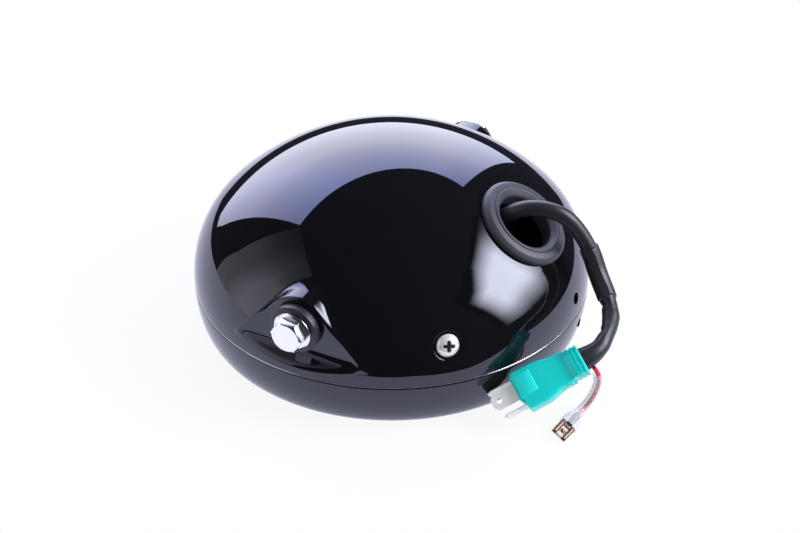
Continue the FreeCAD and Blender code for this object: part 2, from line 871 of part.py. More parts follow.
# The wire leaves the sleeve's end beside the plug and runs into the terminal's crimp
terminal_along = outward(terminal_yaw, 0)
terminal_tip = V(terminal_front[0], terminal_front[1], terminal_level)
terminal_rear = terminal_tip - terminal_along * terminal_length
terminal_turn = FreeCAD.Rotation(terminal_yaw, 0, terminal_roll)


def feed_wire():
    lead = terminal_rear - terminal_along * wire_lead
    reach, turn = sleeve_radius + wire_radius / 2 + 2 * thread_clearance, math.radians(wire_side)
    start = plug_placement.multVec(V(-wire_behind_plug, reach * math.cos(turn), reach * math.sin(turn)))
    route = [tuple(start)] + wire_route + [tuple(lead), tuple(terminal_rear)]
    return tube(route_edges(route, "wire"), wire_radius, "feed_wire")


# A folded strip: two curled sides over a floor at the front, a round crimp behind
def spade_terminal():
    half = terminal_width / 2
    box_start = terminal_length - terminal_box_length
    bottom = -terminal_height / 2
    floor = Part.makeBox(terminal_box_length, terminal_width, terminal_plate, V(box_start, -half, bottom))
    pieces = [floor]
    for side in (1, -1):
        rim = V(box_start, side * (half - terminal_plate / 2) - terminal_plate / 2, bottom)
        pieces.append(Part.makeBox(terminal_box_length, terminal_plate, terminal_height, rim))
        width = half - terminal_gap / 2
        inner = min(side * half, side * terminal_gap / 2)
        roof = V(box_start, inner, terminal_height / 2 - terminal_plate)
        pieces.append(Part.makeBox(terminal_box_length, width, terminal_plate, roof))
        turn_in = V(box_start, side * (terminal_gap + terminal_plate) / 2 - terminal_plate / 2,
                    terminal_height / 2 - terminal_curl)
        pieces.append(Part.makeBox(terminal_box_length, terminal_plate, terminal_curl, turn_in))
    crimp = cylinder(terminal_crimp_radius, origin, V(1, 0, 0), box_start / 2)
    strip_corner = V(0, -terminal_crimp_radius, bottom)
    strip = Part.makeBox(box_start, 2 * terminal_crimp_radius, terminal_plate, strip_corner)
    neck_corner = V(0, -terminal_plate, bottom)
    neck = Part.makeBox(box_start / 2, terminal_plate * 2, terminal_height / 2, neck_corner)
    whole = fused(pieces + [crimp, strip, neck])
    whole.Placement = FreeCAD.Placement(terminal_rear, terminal_turn)
    return whole


def terminal_sleeve():
    outer = (sleeve_cover_width, sleeve_cover_height)
    inner = tuple(s - 2 * sleeve_cover_wall for s in outer)
    start = -sleeve_cover_back
    inner_corner = sleeve_cover_corner - sleeve_cover_wall
    tube_body = rounded_box(outer, sleeve_cover_corner, start, sleeve_cover_length)
    hollow = rounded_box(inner, inner_corner, start, sleeve_cover_length)
    clear = tube_body.cut(hollow)
    clear.Placement = FreeCAD.Placement(terminal_rear, terminal_turn)
    return clear


nodes = {
    "bucket_shell": bucket_shell(),
    "trim_ring": trim_ring(),
    "cable_grommet": cable_grommet(),
    "ring_hook": ring_strip(hook_azimuth, seat_clearance, hook_top_elevation),
    "retaining_ring": retaining_ring(),
    "lens_gasket": lens_gasket(),
    "lens_cover": lens_cover(),
    "heat_sink_housing": heat_sink_housing(),
    "front_bezel": front_bezel(),
    "halo_light_guide": halo_light_guide(),
    "low_beam_reflector": beam_reflector(1),
    "high_beam_reflector": beam_reflector(-1),
    "led_board_low": led_board(1),
    "led_board_high": led_board(-1),
    "led_emitters": led_emitters(),
    "driver_cover": driver_cover(),
    "driver_screws": driver_screws(),
    "cable_gland": cable_gland(),
    "lamp_cable": lamp_cable(),
    "cable_sleeve": cable_sleeve(),
    "plug_body": plug_body(),
    "plug_blade_ground": blade(ground_blade_level, ground_blade_offset, False, True),
    "plug_blade_low": blade(side_blade_level, side_blade_offset, True, False),
    "plug_blade_high": blade(side_blade_level, -side_blade_offset, True, False),
    "feed_wire": feed_wire(),
    "spade_terminal": spade_terminal(),
    "terminal_sleeve": terminal_sleeve(),
}
for side, azimuth in screw_azimuths.items():
    nodes["ring_tab_" + side] = ring_tab(azimuth)
    nodes["tab_nut_" + side] = tab_nut(azimuth)
    nodes["ring_screw_" + side] = ring_screw(azimuth)
for name, shape in (("mount_bolt", mount_bolt()), ("bolt_spacer", bolt_spacer()), ("pad_nut", pad_nut())):
    nodes[name + "_right"] = shape
    nodes[name + "_left"] = mirrored(shape)

os.makedirs("parts", exist_ok=True)
for name, shape in nodes.items():
    print(name, shape.isValid(), len(shape.Solids), round(shape.Volume / 1000, 2), "cm3")
    shape.exportStep("parts/" + name + ".step")
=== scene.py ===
import math

import bpy
import numpy as np
from mathutils import Matrix, Vector


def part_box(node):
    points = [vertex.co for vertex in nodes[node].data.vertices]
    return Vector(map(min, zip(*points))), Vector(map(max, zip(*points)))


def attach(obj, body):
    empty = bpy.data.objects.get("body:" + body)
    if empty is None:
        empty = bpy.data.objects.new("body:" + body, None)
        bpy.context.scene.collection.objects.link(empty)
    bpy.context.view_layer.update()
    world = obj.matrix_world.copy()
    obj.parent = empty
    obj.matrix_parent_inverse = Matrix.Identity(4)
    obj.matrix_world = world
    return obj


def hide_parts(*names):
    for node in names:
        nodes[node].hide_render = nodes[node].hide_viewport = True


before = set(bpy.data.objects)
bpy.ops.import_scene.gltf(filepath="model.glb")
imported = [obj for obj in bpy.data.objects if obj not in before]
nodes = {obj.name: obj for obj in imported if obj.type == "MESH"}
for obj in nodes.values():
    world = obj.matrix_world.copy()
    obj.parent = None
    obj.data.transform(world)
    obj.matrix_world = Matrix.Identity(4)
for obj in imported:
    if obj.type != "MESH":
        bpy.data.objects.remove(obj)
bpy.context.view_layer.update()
mm = 0.001  # sizes below are in millimetres, the scene is in metres
upAxis = Vector((0, 0, 1))
bpy.context.scene.view_settings.view_transform = "Standard"
print("frame loaded:", len(nodes), "nodes")


def newObject(name, data):
    thing = bpy.data.objects.new(name, data)
    bpy.context.collection.objects.link(thing)
    return thing


# Camera

shot = {"azimuth": -62.58, "elevation": 35.43, "distance": 800.0, "lens": 72.2, "shift": (0.0108, 0.0513)}


def fromShot(x, y, z):  # x right, y away from the camera, z up, to the part's own axes
    turn = math.radians(shot["azimuth"])
    c, s = math.cos(turn), math.sin(turn)
    return Vector((x * c - y * s, x * s + y * c, z))


def makeCamera():
    tilt = math.radians(shot["elevation"])
    data = bpy.data.cameras.new("shotCamera")
    data.lens = shot["lens"]
    data.shift_x, data.shift_y = shot["shift"]
    data.clip_start = 0.01
    camera = newObject("shotCamera", data)
    away = shot["distance"] * mm
    camera.location = fromShot(0, -away * math.cos(tilt), away * math.sin(tilt))
    camera.rotation_euler = camera.location.to_track_quat("Z", "Y").to_euler()
    bpy.context.scene.camera = camera


makeCamera()
print("camera placed")


# Shader groups and materials

def newGroup(name, inputs, outputs):
    group = bpy.data.node_groups.new(name, "ShaderNodeTree")
    for label, kind, value in inputs:
        socket = group.interface.new_socket(label, in_out="INPUT", socket_type=kind)
        if value is not None:
            socket.default_value = value
    for label, kind in outputs:
        group.interface.new_socket(label, in_out="OUTPUT", socket_type=kind)
    return group, group.nodes.new("NodeGroupInput"), group.nodes.new("NodeGroupOutput")


def addNode(tree, kind, settings=None, **values):
    node = tree.nodes.new(kind)
    for key, value in (settings or {}).items():
        setattr(node, key, value)
    for key, value in values.items():
        node.inputs[key].default_value = value
    return node


def link(tree, *pairs):  # a node and its output, then a node and its input
    for a, given, b, taken in pairs:
        tree.links.new(a.outputs[given], b.inputs[taken])


def makeFinishGroup():  # uneven tone, roughness and fine relief, shared by every finish
    group, taken, given = newGroup(
        "unevenFinish",
        [("Vector", "NodeSocketVector", None), ("Dark", "NodeSocketColor", (0.0, 0.0, 0.0, 1)),
         ("Light", "NodeSocketColor", (0.1, 0.1, 0.1, 1)), ("Tone Scale", "NodeSocketFloat", 60.0),
         ("Smooth", "NodeSocketFloat", 0.2), ("Rough", "NodeSocketFloat", 0.3),
         ("Rough Scale", "NodeSocketFloat", 150.0), ("Grain Scale", "NodeSocketFloat", 900.0)],
        [("Color", "NodeSocketColor"), ("Roughness", "NodeSocketFloat"), ("Height", "NodeSocketFloat")])
    tone = addNode(group, "ShaderNodeTexNoise", Detail=3.0)
    rough = addNode(group, "ShaderNodeTexNoise", Detail=4.0, Roughness=0.6)
    grain = addNode(group, "ShaderNodeTexNoise", Detail=2.0)
    mix = addNode(group, "ShaderNodeMix", {"data_type": "RGBA"})
    spread = addNode(group, "ShaderNodeMapRange")
    for node, scale in ((tone, "Tone Scale"), (rough, "Rough Scale"), (grain, "Grain Scale")):
        link(group, (taken, "Vector", node, "Vector"), (taken, scale, node, "Scale"))
    link(group, (tone, "Fac", mix, "Factor"), (taken, "Dark", mix, "A"), (taken, "Light", mix, "B"),
         (rough, "Fac", spread, "Value"), (taken, "Smooth", spread, "To Min"),
         (taken, "Rough", spread, "To Max"), (mix, "Result", given, "Color"),
         (spread, "Result", given, "Roughness"), (grain, "Fac", given, "Height"))
    return group


finishGroup = makeFinishGroup()


def makeFinish(name, dark, light, rough, scales, relief, sockets=None):
    material = bpy.data.materials.new(name)
    material.use_nodes = True
    tree = material.node_tree
    shader = tree.nodes["Principled BSDF"]
    place = addNode(tree, "ShaderNodeTexCoord")
    finish = addNode(tree, "ShaderNodeGroup", {"node_tree": finishGroup}, Dark=(*dark, 1), Light=(*light, 1),
                     Smooth=rough[0], Rough=rough[1])
    for label, scale in zip(("Tone Scale", "Rough Scale", "Grain Scale"), scales):
        finish.inputs[label].default_value = scale
    link(tree, (place, "Object", finish, "Vector"), (finish, "Color", shader, "Base Color"),
         (finish, "Roughness", shader, "Roughness"))
    if relief:
        bump = addNode(tree, "ShaderNodeBump", Strength=1.0, Distance=relief * mm)
        link(tree, (finish, "Height", bump, "Height"), (bump, "Normal", shader, "Normal"))
    for label, value in (sockets or {}).items():
        shader.inputs[label].default_value = value
    return material


metal, halfMetal, paleMetal, dullMetal = ({"Metallic": share} for share in (1.0, 0.6, 0.35, 0.1))
gloss = {"IOR": 1.65, "Specular Tint": (0.86, 0.88, 1.0, 1)}
clear = {"IOR": 1.58, "Transmission Weight": 1.0}
# darkest and lightest tone, roughness, scales of tone, roughness and grain, relief in mm, other sockets
finishValues = {
    "bucketPaint": ((0.003, 0.003, 0.0035), (0.005, 0.005, 0.006), (0.018, 0.035), (25, 60, 320), 0.0004,
                    gloss),
    "ringPaint": ((0.0035, 0.0035, 0.004), (0.006, 0.006, 0.007), (0.03, 0.06), (25, 60, 320), 0.0004, gloss),
    "grommetRubber": ((0.034, 0.035, 0.045), (0.056, 0.058, 0.074), (0.42, 0.56), (90, 300, 2600), 0.02),
    "boltZinc": ((0.80, 0.80, 0.79), (0.93, 0.93, 0.92), (0.14, 0.24), (200, 500, 1500), 0.004, metal),
    "spacerRubber": ((0.018, 0.018, 0.024), (0.03, 0.03, 0.038), (0.3, 0.42), (90, 300, 2200), 0.008),
    "screwChrome": ((0.86, 0.86, 0.86), (0.95, 0.95, 0.95), (0.16, 0.26), (200, 600, 1500), 0.001, paleMetal),
    "edgeSteel": ((0.62, 0.62, 0.65), (0.78, 0.78, 0.82), (0.12, 0.22), (200, 500, 1500), 0.0, metal),
    # painted shade: the floor of the screws' cross recess, dark where shade falls
    "recessDark": ((0.05, 0.035, 0.03), (0.12, 0.085, 0.07), (0.4, 0.55), (300, 600, 1500), 0.002, metal),
    "platedSteel": ((0.42, 0.42, 0.43), (0.6, 0.6, 0.61), (0.22, 0.4), (120, 300, 1500), 0.004, metal),
    "retainerPaint": ((0.012, 0.012, 0.013), (0.022, 0.022, 0.024), (0.3, 0.42), (60, 200, 1200), 0.006),
    "gasketRubber": ((0.012, 0.012, 0.012), (0.022, 0.022, 0.022), (0.55, 0.7), (90, 300, 2400), 0.02),
    "lensClear": ((0.93, 0.95, 0.96), (0.98, 0.99, 1.0), (0.01, 0.03), (30, 60, 300), 0.0, clear),
    "sinkAlloy": ((0.03, 0.03, 0.033), (0.06, 0.06, 0.065), (0.35, 0.5), (80, 250, 1400), 0.012, halfMetal),
    "bezelBlack": ((0.008, 0.008, 0.009), (0.016, 0.016, 0.018), (0.08, 0.16), (60, 150, 800), 0.001),
    "haloMilky": ((0.78, 0.8, 0.83), (0.88, 0.9, 0.93), (0.3, 0.42), (90, 200, 900), 0.002,
                  {"Subsurface Weight": 0.2}),
    "reflectorBright": ((0.86, 0.86, 0.88), (0.95, 0.95, 0.96), (0.05, 0.12), (80, 200, 600), 0.001, metal),
    "boardWhite": ((0.66, 0.66, 0.63), (0.8, 0.8, 0.77), (0.4, 0.55), (150, 400, 2000), 0.003),
    "emitterYellow": ((0.75, 0.6, 0.08), (0.9, 0.75, 0.18), (0.45, 0.6), (400, 600, 2500), 0.004),
    "coverBlack": ((0.018, 0.018, 0.02), (0.035, 0.035, 0.038), (0.4, 0.55), (80, 300, 1800), 0.015),
    "cableBlack": ((0.013, 0.013, 0.017), (0.024, 0.024, 0.031), (0.34, 0.46), (120, 300, 1500), 0.008),
    "sleeveBlack": ((0.014, 0.014, 0.018), (0.028, 0.028, 0.036), (0.3, 0.46), (150, 300, 700), 0.05),
    "plugTeal": ((0.0, 0.65, 0.6), (0.002, 0.74, 0.69), (0.24, 0.36), (120, 260, 1600), 0.006),
    # painted highlight: a lighter copy of plugTeal for the raised panel, standing in for the light the panel
    # catches
    "plugTealLight": ((0.006, 0.74, 0.7), (0.012, 0.84, 0.8), (0.24, 0.36), (120, 260, 1600), 0.006),
    "bladeTin": ((0.88, 0.88, 0.88), (0.96, 0.96, 0.96), (0.3, 0.45), (300, 700, 2500), 0.003, dullMetal),
    "wireRed": ((0.62, 0.0, 0.02), (0.8, 0.01, 0.035), (0.28, 0.4), (300, 500, 2500), 0.003),
    "bootClear": ((0.66, 0.64, 0.74), (0.84, 0.83, 0.9), (0.12, 0.25), (180, 300, 900), 0.01),
    "terminalBronze": ((0.2, 0.12, 0.085), (0.36, 0.24, 0.18), (0.2, 0.36), (500, 700, 2500), 0.004, metal),
}
finishes = {name: makeFinish(name, *values) for name, values in finishValues.items()}


def clearBoot(tree, blend=0.35, face=0.18, edge=0.55):  # clear where it faces the eye, milky at its edges
    facing = addNode(tree, "ShaderNodeLayerWeight", Blend=blend)
    alpha = addNode(tree, "ShaderNodeMapRange")
    alpha.inputs["To Min"].default_value, alpha.inputs["To Max"].default_value = face, edge
    link(tree, (facing, "Facing", alpha, "Value"), (alpha, "Result", tree.nodes["Principled BSDF"], "Alpha"))


clearBoot(finishes["bootClear"].node_tree)
nodeFinish = {
    "ring_tab": "platedSteel", "tab_nut": "platedSteel", "pad_nut": "platedSteel", "ring_hook": "platedSteel",
    "retaining_ring": "retainerPaint", "lens_gasket": "gasketRubber", "lens_cover": "lensClear",
    "heat_sink_housing": "sinkAlloy", "front_bezel": "bezelBlack", "halo_light_guide": "haloMilky",
    "low_beam_reflector": "reflectorBright", "high_beam_reflector": "reflectorBright",
    "led_board": "boardWhite", "led_emitters": "emitterYellow", "driver_cover": "coverBlack",
    "driver_screws": "platedSteel", "cable_gland": "coverBlack",
}


def dressNodes():  # the hidden pieces keep their own shape and take a finish
    for start, finish in nodeFinish.items():
        for name, node in nodes.items():
            if name.startswith(start):
                node.data.materials.clear()
                node.data.materials.append(finishes[finish])


dressNodes()
print("finishes made:", len(finishes))


# Mesh helpers

def gridFaces(rows, columns):  # four-sided faces between closed rows of points
    r, c = np.meshgrid(np.arange(rows - 1), np.arange(columns), indexing="ij")
    n = (c + 1) % columns
    low, high = r * columns, (r + 1) * columns
    return np.stack([low + c, low + n, high + n, high + c], -1).reshape(-1, 4)


def makePiece(name, points, faces, finish, normals=None, sharp=None):
    mesh = bpy.data.meshes.new(name)
    mesh.from_pydata((np.asarray(points, float) * mm).tolist(), [], [list(map(int, f)) for f in faces])
    mesh.polygons.foreach_set("use_smooth", np.ones(len(mesh.polygons), bool))
    if normals is not None:
        mesh.normals_split_custom_set_from_vertices(np.asarray(normals, float).tolist())
    elif sharp:
        mesh.set_sharp_from_angle(angle=math.radians(sharp))
    mesh.materials.append(finishes[finish])
    mesh.update()
    return newObject(name, mesh)


def standing(origin, axis):  # a frame with its Z along an axis
    toAxis = upAxis.rotation_difference(Vector(axis).normalized())
    return Matrix.Translation(Vector(origin)) @ toAxis.to_matrix().to_4x4()


def moved(points, matrix):
    m = np.array(matrix)
    return np.asarray(points, float) @ m[:3, :3].T + m[:3, 3]


def unit(vectors):
    return vectors / np.linalg.norm(vectors, axis=-1, keepdims=True)


def fullTurn(steps):
    return np.linspace(0, 2 * math.pi, steps, endpoint=False)


def cornerPoints(before, at, after, cut, steps, bend=1.0):  # rounds a corner, flatter with less bend
    at = np.array(at)
    back, ahead = unit(np.array(before) - at), unit(np.array(after) - at)
    t = np.linspace(0, 1, steps)[:, None]
    pull = bend * ((1 - t) ** 2 * back + t**2 * ahead) + (1 - bend) * ((1 - t) * back + t * ahead)
    return list(at + cut * pull)


def roundedProfile(corners, steps=5):  # (radius, height, rounding) corners to a line with rounded corners
    line = [corners[0][:2]]
    for (*before, _), (*at, rounding), (*after, _) in zip(corners, corners[1:], corners[2:]):
        line += cornerPoints(before, at, after, rounding, steps) if rounding else [at]
    return np.array(line + [corners[-1][:2]])


def turnedArrays(profile, segments):  # a line of radii and heights, turned about Z
    angles = fullTurn(segments)
    r, h = profile[:, 0][:, None], profile[:, 1][:, None]
    points = np.stack([r * np.cos(angles), r * np.sin(angles), h + 0 * angles], -1).reshape(-1, 3)
    return points, gridFaces(len(profile), segments)


def endFace(rows, columns):  # closes the last row of a grid
    return [(rows - 1) * columns + i for i in range(columns)]


def joined(parts):
    points, faces, count = [], [], 0
    for some, these in parts:
        points.append(np.asarray(some, float))
        faces += [[int(i) + count for i in f] for f in these]
        count += len(some)
    return np.concatenate(points), faces


def roundedPad(x0, x1, y0, y1, low, high, inset=0.45, edge=0.12):  # a block with its top edges rounded
    rows = []
    for z, cut in ((low, 0), (high - inset, 0), (high - edge, edge), (high, inset)):
        a, b, c, d = x0 + cut, x1 - cut, y0 + cut, y1 - cut
        rows += [(a, c, z), (b, c, z), (b, d, z), (a, d, z)]
    return np.array(rows, float), gridFaces(4, 4).tolist() + [[12, 13, 14, 15], [3, 2, 1, 0]]


def finishPiece(piece, slot, *replaced):
    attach(piece, "root")
    if replaced:
        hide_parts(*replaced)
    return piece


# Steel bowl with its pressed pads

bowl = {
    "band": 1.0, "shoulder": 47.4, "sheet": 1.2, "lipRound": 0.4,
    "padInset": 6.3, "padFoot": 9.7, "padHalf": 31.0, "padRound": 14.5, "padDraft": 0.05,
    "ledgeSlope": 0.85, "recessDraft": 0.25, "boltAboveSeam": 22.4, "bossBlend": 2.2, "bossStart": 74.0,
    "bossFade": 0.022, "bossFoot": 1.0, "faceEdge": 1.6, "recessBlend": 1.3, "cornerBlend": 2.4,
    "screwAzimuths": (-137.0, -43.0), "screwElevation": 21.4,
    "dimple": 6.5, "dimpleDepth": 0.8, "dimpleFloor": 0.4, "dimpleEdge": 0.9,
    "grommetAzimuth": -90.0, "grommetElevation": 54.5, "grommetHole": 20.4,
    "holeAzimuth": -88.0, "holeElevation": 10.5, "hole": 2.75, "holeSegments": 40,
    "columns": 440, "rows": 140, "innerStep": 3, "firstRow": 0.4, "lastRow": 0.99,
    "closeRows": (3.0, 46.0, 3.2),  # from, to and how much closer, then reach in degrees and how much closer
    "closePad": (24.0, 5.0), "closeScrew": (4.5, 4.0), "closeHole": (3.0, 4.0), "closeGrommet": (18.0, 1.5),
    "search": (0.8, 1.15), "halvings": 34, "plainBelow": 2.0, "slopeStep": 0.02,
}
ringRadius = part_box("trim_ring")[1].x / mm
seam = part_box("bucket_shell")[0].z / mm
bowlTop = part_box("bucket_shell")[1].z / mm
shoulderX, shoulderZ = ringRadius - bowl["shoulder"], seam + bowl["band"]
rise = bowlTop - shoulderZ
crownRadius = (shoulderX**2 + rise**2 - bowl["shoulder"] ** 2) / (2 * (rise - bowl["shoulder"]))
crownZ = bowlTop - crownRadius
tangentAngle = math.atan2(shoulderZ - crownZ, shoulderX)
padPlane = ringRadius - bowl["padInset"]
padFoot = seam + bowl["padFoot"]
boltZ = seam + bowl["boltAboveSeam"]


def bowlNormal(azimuth, elevation):
    a, e = math.radians(azimuth), math.radians(elevation)
    return Vector((math.cos(e) * math.cos(a), math.cos(e) * math.sin(a), math.sin(e)))


def onBowl(azimuth, elevation, lift=0.0):  # where the plain bowl's normal points this way
    a, e = math.radians(azimuth), math.radians(elevation)
    crown = e > tangentAngle
    x, z, r = (0, crownZ, crownRadius) if crown else (shoulderX, shoulderZ, bowl["shoulder"])
    far = x + (r + lift) * math.cos(e)
    return Vector((far * math.cos(a), far * math.sin(a), z + (r + lift) * math.sin(e)))


def smoothMax(a, b, k):
    h = np.clip(0.5 + 0.5 * (a - b) / k, 0, 1)
    return b + (a - b) * h + k * h * (1 - h)


def domeDistance(x, y, z):
    r = np.hypot(x, y)
    crown = np.hypot(r, z - crownZ) - crownRadius
    shoulder = np.hypot(r - shoulderX, z - shoulderZ) - bowl["shoulder"]
    low = np.where(z > shoulderZ, shoulder, r - ringRadius)
    return np.where(np.arctan2(z - crownZ, r) > tangentAngle, crown, low)


def padSide(y, z):  # slanting sides that meet a round top about the bolt
    half, r = bowl["padHalf"], bowl["padRound"]
    drop = padFoot - boltZ
    lean = math.atan2(drop, half) + math.acos(r / math.hypot(half, drop))
    side, tall = np.abs(y), z - boltZ
    line = side * math.cos(lean) + tall * math.sin(lean) - r
    return np.where(np.arctan2(tall, side) > lean, np.hypot(side, tall) - r, line)


def bowlDistance(p):  # from the bowl's outside, with the pads raised and the scoops and dimples pressed in
    x, y, z = p[..., 0], p[..., 1], p[..., 2]
    out = np.abs(x)
    face = padPlane + bowl["recessBlend"] / 4
    side = padSide(y, z)
    boss = smoothMax(side - bowl["padDraft"] * (face - out), out - face, bowl["faceEdge"])
    boss = boss + bowl["bossFade"] * np.clip(bowl["bossStart"] - out, 0, None) ** 2  # sinks into the dome
    boss = smoothMax(boss, padFoot - bowl["bossFoot"] - z, bowl["bossBlend"])  # ends at the foot
    shape = -smoothMax(-domeDistance(x, y, z), -boss, bowl["bossBlend"])
    ledge = (padFoot - bowl["ledgeSlope"] * (out - face) - z) / math.hypot(1, bowl["ledgeSlope"])
    recess = smoothMax(face - out, ledge, bowl["cornerBlend"])
    recess = smoothMax(recess, side - bowl["recessDraft"] * (out - face), bowl["faceEdge"])
    shape = smoothMax(shape, -recess, bowl["recessBlend"])
    for azimuth in bowl["screwAzimuths"]:
        normal = np.array(bowlNormal(azimuth, bowl["screwElevation"]))
        away = p - np.array(onBowl(azimuth, bowl["screwElevation"]))
        high = away @ normal
        across = np.linalg.norm(away - high[..., None] * normal, axis=-1)
        dimple = smoothMax(across - bowl["dimple"], -high - bowl["dimpleDepth"], bowl["dimpleFloor"])
        shape = smoothMax(shape, -dimple, bowl["dimpleEdge"])
    return shape


def spacedBy(weight, low, high, count, closed):  # numbers that lie closer where the weight is more
    fine = np.linspace(low, high, 4001)
    total = np.concatenate([[0], np.cumsum((weight(fine[1:]) + weight(fine[:-1])) / 2)])
    return np.interp(np.linspace(0, total[-1], count, endpoint=not closed), total, fine)


def columnWeight(azimuth):
    places = [(0, "closePad"), (180, "closePad"), (bowl["holeAzimuth"], "closeHole"),
              (bowl["grommetAzimuth"], "closeGrommet")] + [(a, "closeScrew") for a in bowl["screwAzimuths"]]
    weight = 1.0
    for place, key in places:
        reach, more = bowl[key]
        weight = weight + more * (np.abs((azimuth - place + 180) % 360 - 180) < reach)
    return weight


def rowWeight(length):
    low, high, more = bowl["closeRows"]
    return 1 + more * ((length > low) & (length < high))


def bowlLine(s):  # radius and height at a length along the bowl's plain section
    arc = bowl["shoulder"] * tangentAngle
    up = np.clip(s - bowl["band"], 0, arc) / bowl["shoulder"]
    over = tangentAngle + np.clip(s - bowl["band"] - arc, 0, None) / crownRadius
    crown = over > tangentAngle
    r = np.where(crown, crownRadius * np.cos(over), shoulderX + bowl["shoulder"] * np.cos(up))
    z = np.where(crown, crownZ + crownRadius * np.sin(over), shoulderZ + bowl["shoulder"] * np.sin(up))
    return r, np.where(s < bowl["band"], seam + s, z)


def bowlSurface(azimuths, lengths, level):  # points and normals, found along rays from the middle
    r, z = bowlLine(lengths)
    a = np.radians(azimuths)
    base = np.stack([r[:, None] * np.cos(a), r[:, None] * np.sin(a), z[:, None] + 0 * a], -1)
    centre = np.array((0, 0, padFoot))
    ray = base - centre
    low, high = (np.full(base.shape[:2], end) for end in bowl["search"])
    for _ in range(bowl["halvings"]):
        middle = (low + high) / 2
        outside = bowlDistance(centre + ray * middle[..., None]) > level
        low, high = np.where(outside, low, middle), np.where(outside, middle, high)
    points = centre + ray * high[..., None]
    plain = z < seam + bowl["plainBelow"]
    points[plain] = (base + level * np.stack([np.cos(a), np.sin(a), 0 * a], -1))[plain]
    step = np.eye(3) * bowl["slopeStep"]
    slope = np.stack([bowlDistance(points + d) - bowlDistance(points - d) for d in step], -1)
    return points, unit(slope)


def holeSpot(azimuth, elevation):
    return np.array(onBowl(azimuth, elevation)), np.array(bowlNormal(azimuth, elevation))


def openHole(points, faces, spot, normal, radius, snap, reach=12):  # drops faces, and rounds the edge
    away = points - spot
    high = away @ normal
    flat = away - high[:, None] * normal
    across = np.linalg.norm(flat, axis=1)
    inside = (across < radius) & (np.abs(high) < reach)
    gone = inside[faces].all(1)
    kept = faces[~gone]
    if snap:
        edge = np.intersect1d(np.unique(faces[gone]), np.unique(kept))
        points[edge] = spot + high[edge, None] * normal + flat[edge] / across[edge, None] * radius
    return kept


def holeWall(spot, normal, radius, ends, segments):
    wall, faces = turnedArrays(np.array([[radius, end] for end in ends]), segments)
    return moved(wall, standing(spot, normal)), faces


def makeBowl():
    sheet, columns, lipRound = bowl["sheet"], bowl["columns"], bowl["lipRound"]
    azimuths = spacedBy(columnWeight, -180, 180, columns, True)
    whole = bowl["band"] + bowl["shoulder"] * tangentAngle + crownRadius * (math.pi / 2 - tangentAngle)
    lengths = spacedBy(rowWeight, bowl["firstRow"], whole * bowl["lastRow"], bowl["rows"], False)
    outer, outerNormals = bowlSurface(azimuths, lengths, 0.0)
    inner, innerNormals = bowlSurface(azimuths, lengths[:: bowl["innerStep"]], -sheet)
    a = np.radians(azimuths)
    spoke = np.stack([np.cos(a), np.sin(a), 0 * a], -1)
    rows, normals = list(inner[::-1]), list(-innerNormals[::-1])
    lip = ((sheet, 0, 90), (lipRound, 0, 90), (0.3 * lipRound, 0.3 * lipRound, 45), (0, lipRound, 0))
    for inset, up, tilt in lip:  # the cut edge at the seam, with a small round on its outside
        t = math.radians(tilt)
        rows.append(spoke * (ringRadius - inset) + np.array((0, 0, seam + up)))
        normals.append(spoke * math.cos(t) - np.array((0, 0, math.sin(t))))
    rows, normals = rows + list(outer[1:]), normals + list(outerNormals[1:])
    points = np.concatenate([*rows, [[0, 0, bowlTop - sheet], [0, 0, bowlTop]]])
    count = len(rows)
    first, last = np.arange(columns), np.arange(columns) + (count - 1) * columns
    tops = [[b, a, count * columns] for a, b in zip(first.tolist(), np.roll(first, -1).tolist())]
    tops += [[a, b, count * columns + 1] for a, b in zip(last.tolist(), np.roll(last, -1).tolist())]
    cableSpot = holeSpot(bowl["grommetAzimuth"], bowl["grommetElevation"])
    drainSpot, drainAxis = holeSpot(bowl["holeAzimuth"], bowl["holeElevation"])
    faces = openHole(points, gridFaces(count, columns), *cableSpot, bowl["grommetHole"], False)
    faces = openHole(points, faces, drainSpot, drainAxis, bowl["hole"], True)
    wall, wallFaces = holeWall(drainSpot, drainAxis, bowl["hole"], (0.0, -sheet), bowl["holeSegments"])
    inwards = drainSpot + ((wall - drainSpot) @ drainAxis)[:, None] * drainAxis - wall
    normals = np.concatenate([*normals, [[0, 0, -1], [0, 0, 1]], inwards / bowl["hole"]])
    points, faces = joined([(points, faces.tolist() + tops), (wall, wallFaces)])
    piece = makePiece("bucketShell", points, faces, "bucketPaint", normals)
    return finishPiece(piece, "bucket_paint", "bucket_shell")


makeBowl()
print("bowl made")


# Trim ring

ring = {
    "flare": 8.9, "rimWidth": 2.1, "seamGap": 0.3, "band": 1.8, "lipHeight": 4.5, "lipClearance": 0.5,
    "seatDepth": 8.0, "seatWidth": 3.5, "segments": 480, "swellSteps": 40,
    "edgeRound": 0.9, "fold": 0.2, "lipRound": 0.3, "seatRound": 0.4, "rimRound": 0.5,
    "bareEdge": 0.2, "bareSides": 13, "bareLift": 0.08,
    "holeAzimuth": -84.0, "holeBelowSeam": 8.4, "hole": 2.2, "holeSegments": 32, "holeEnds": (-0.2, -3.4),
}


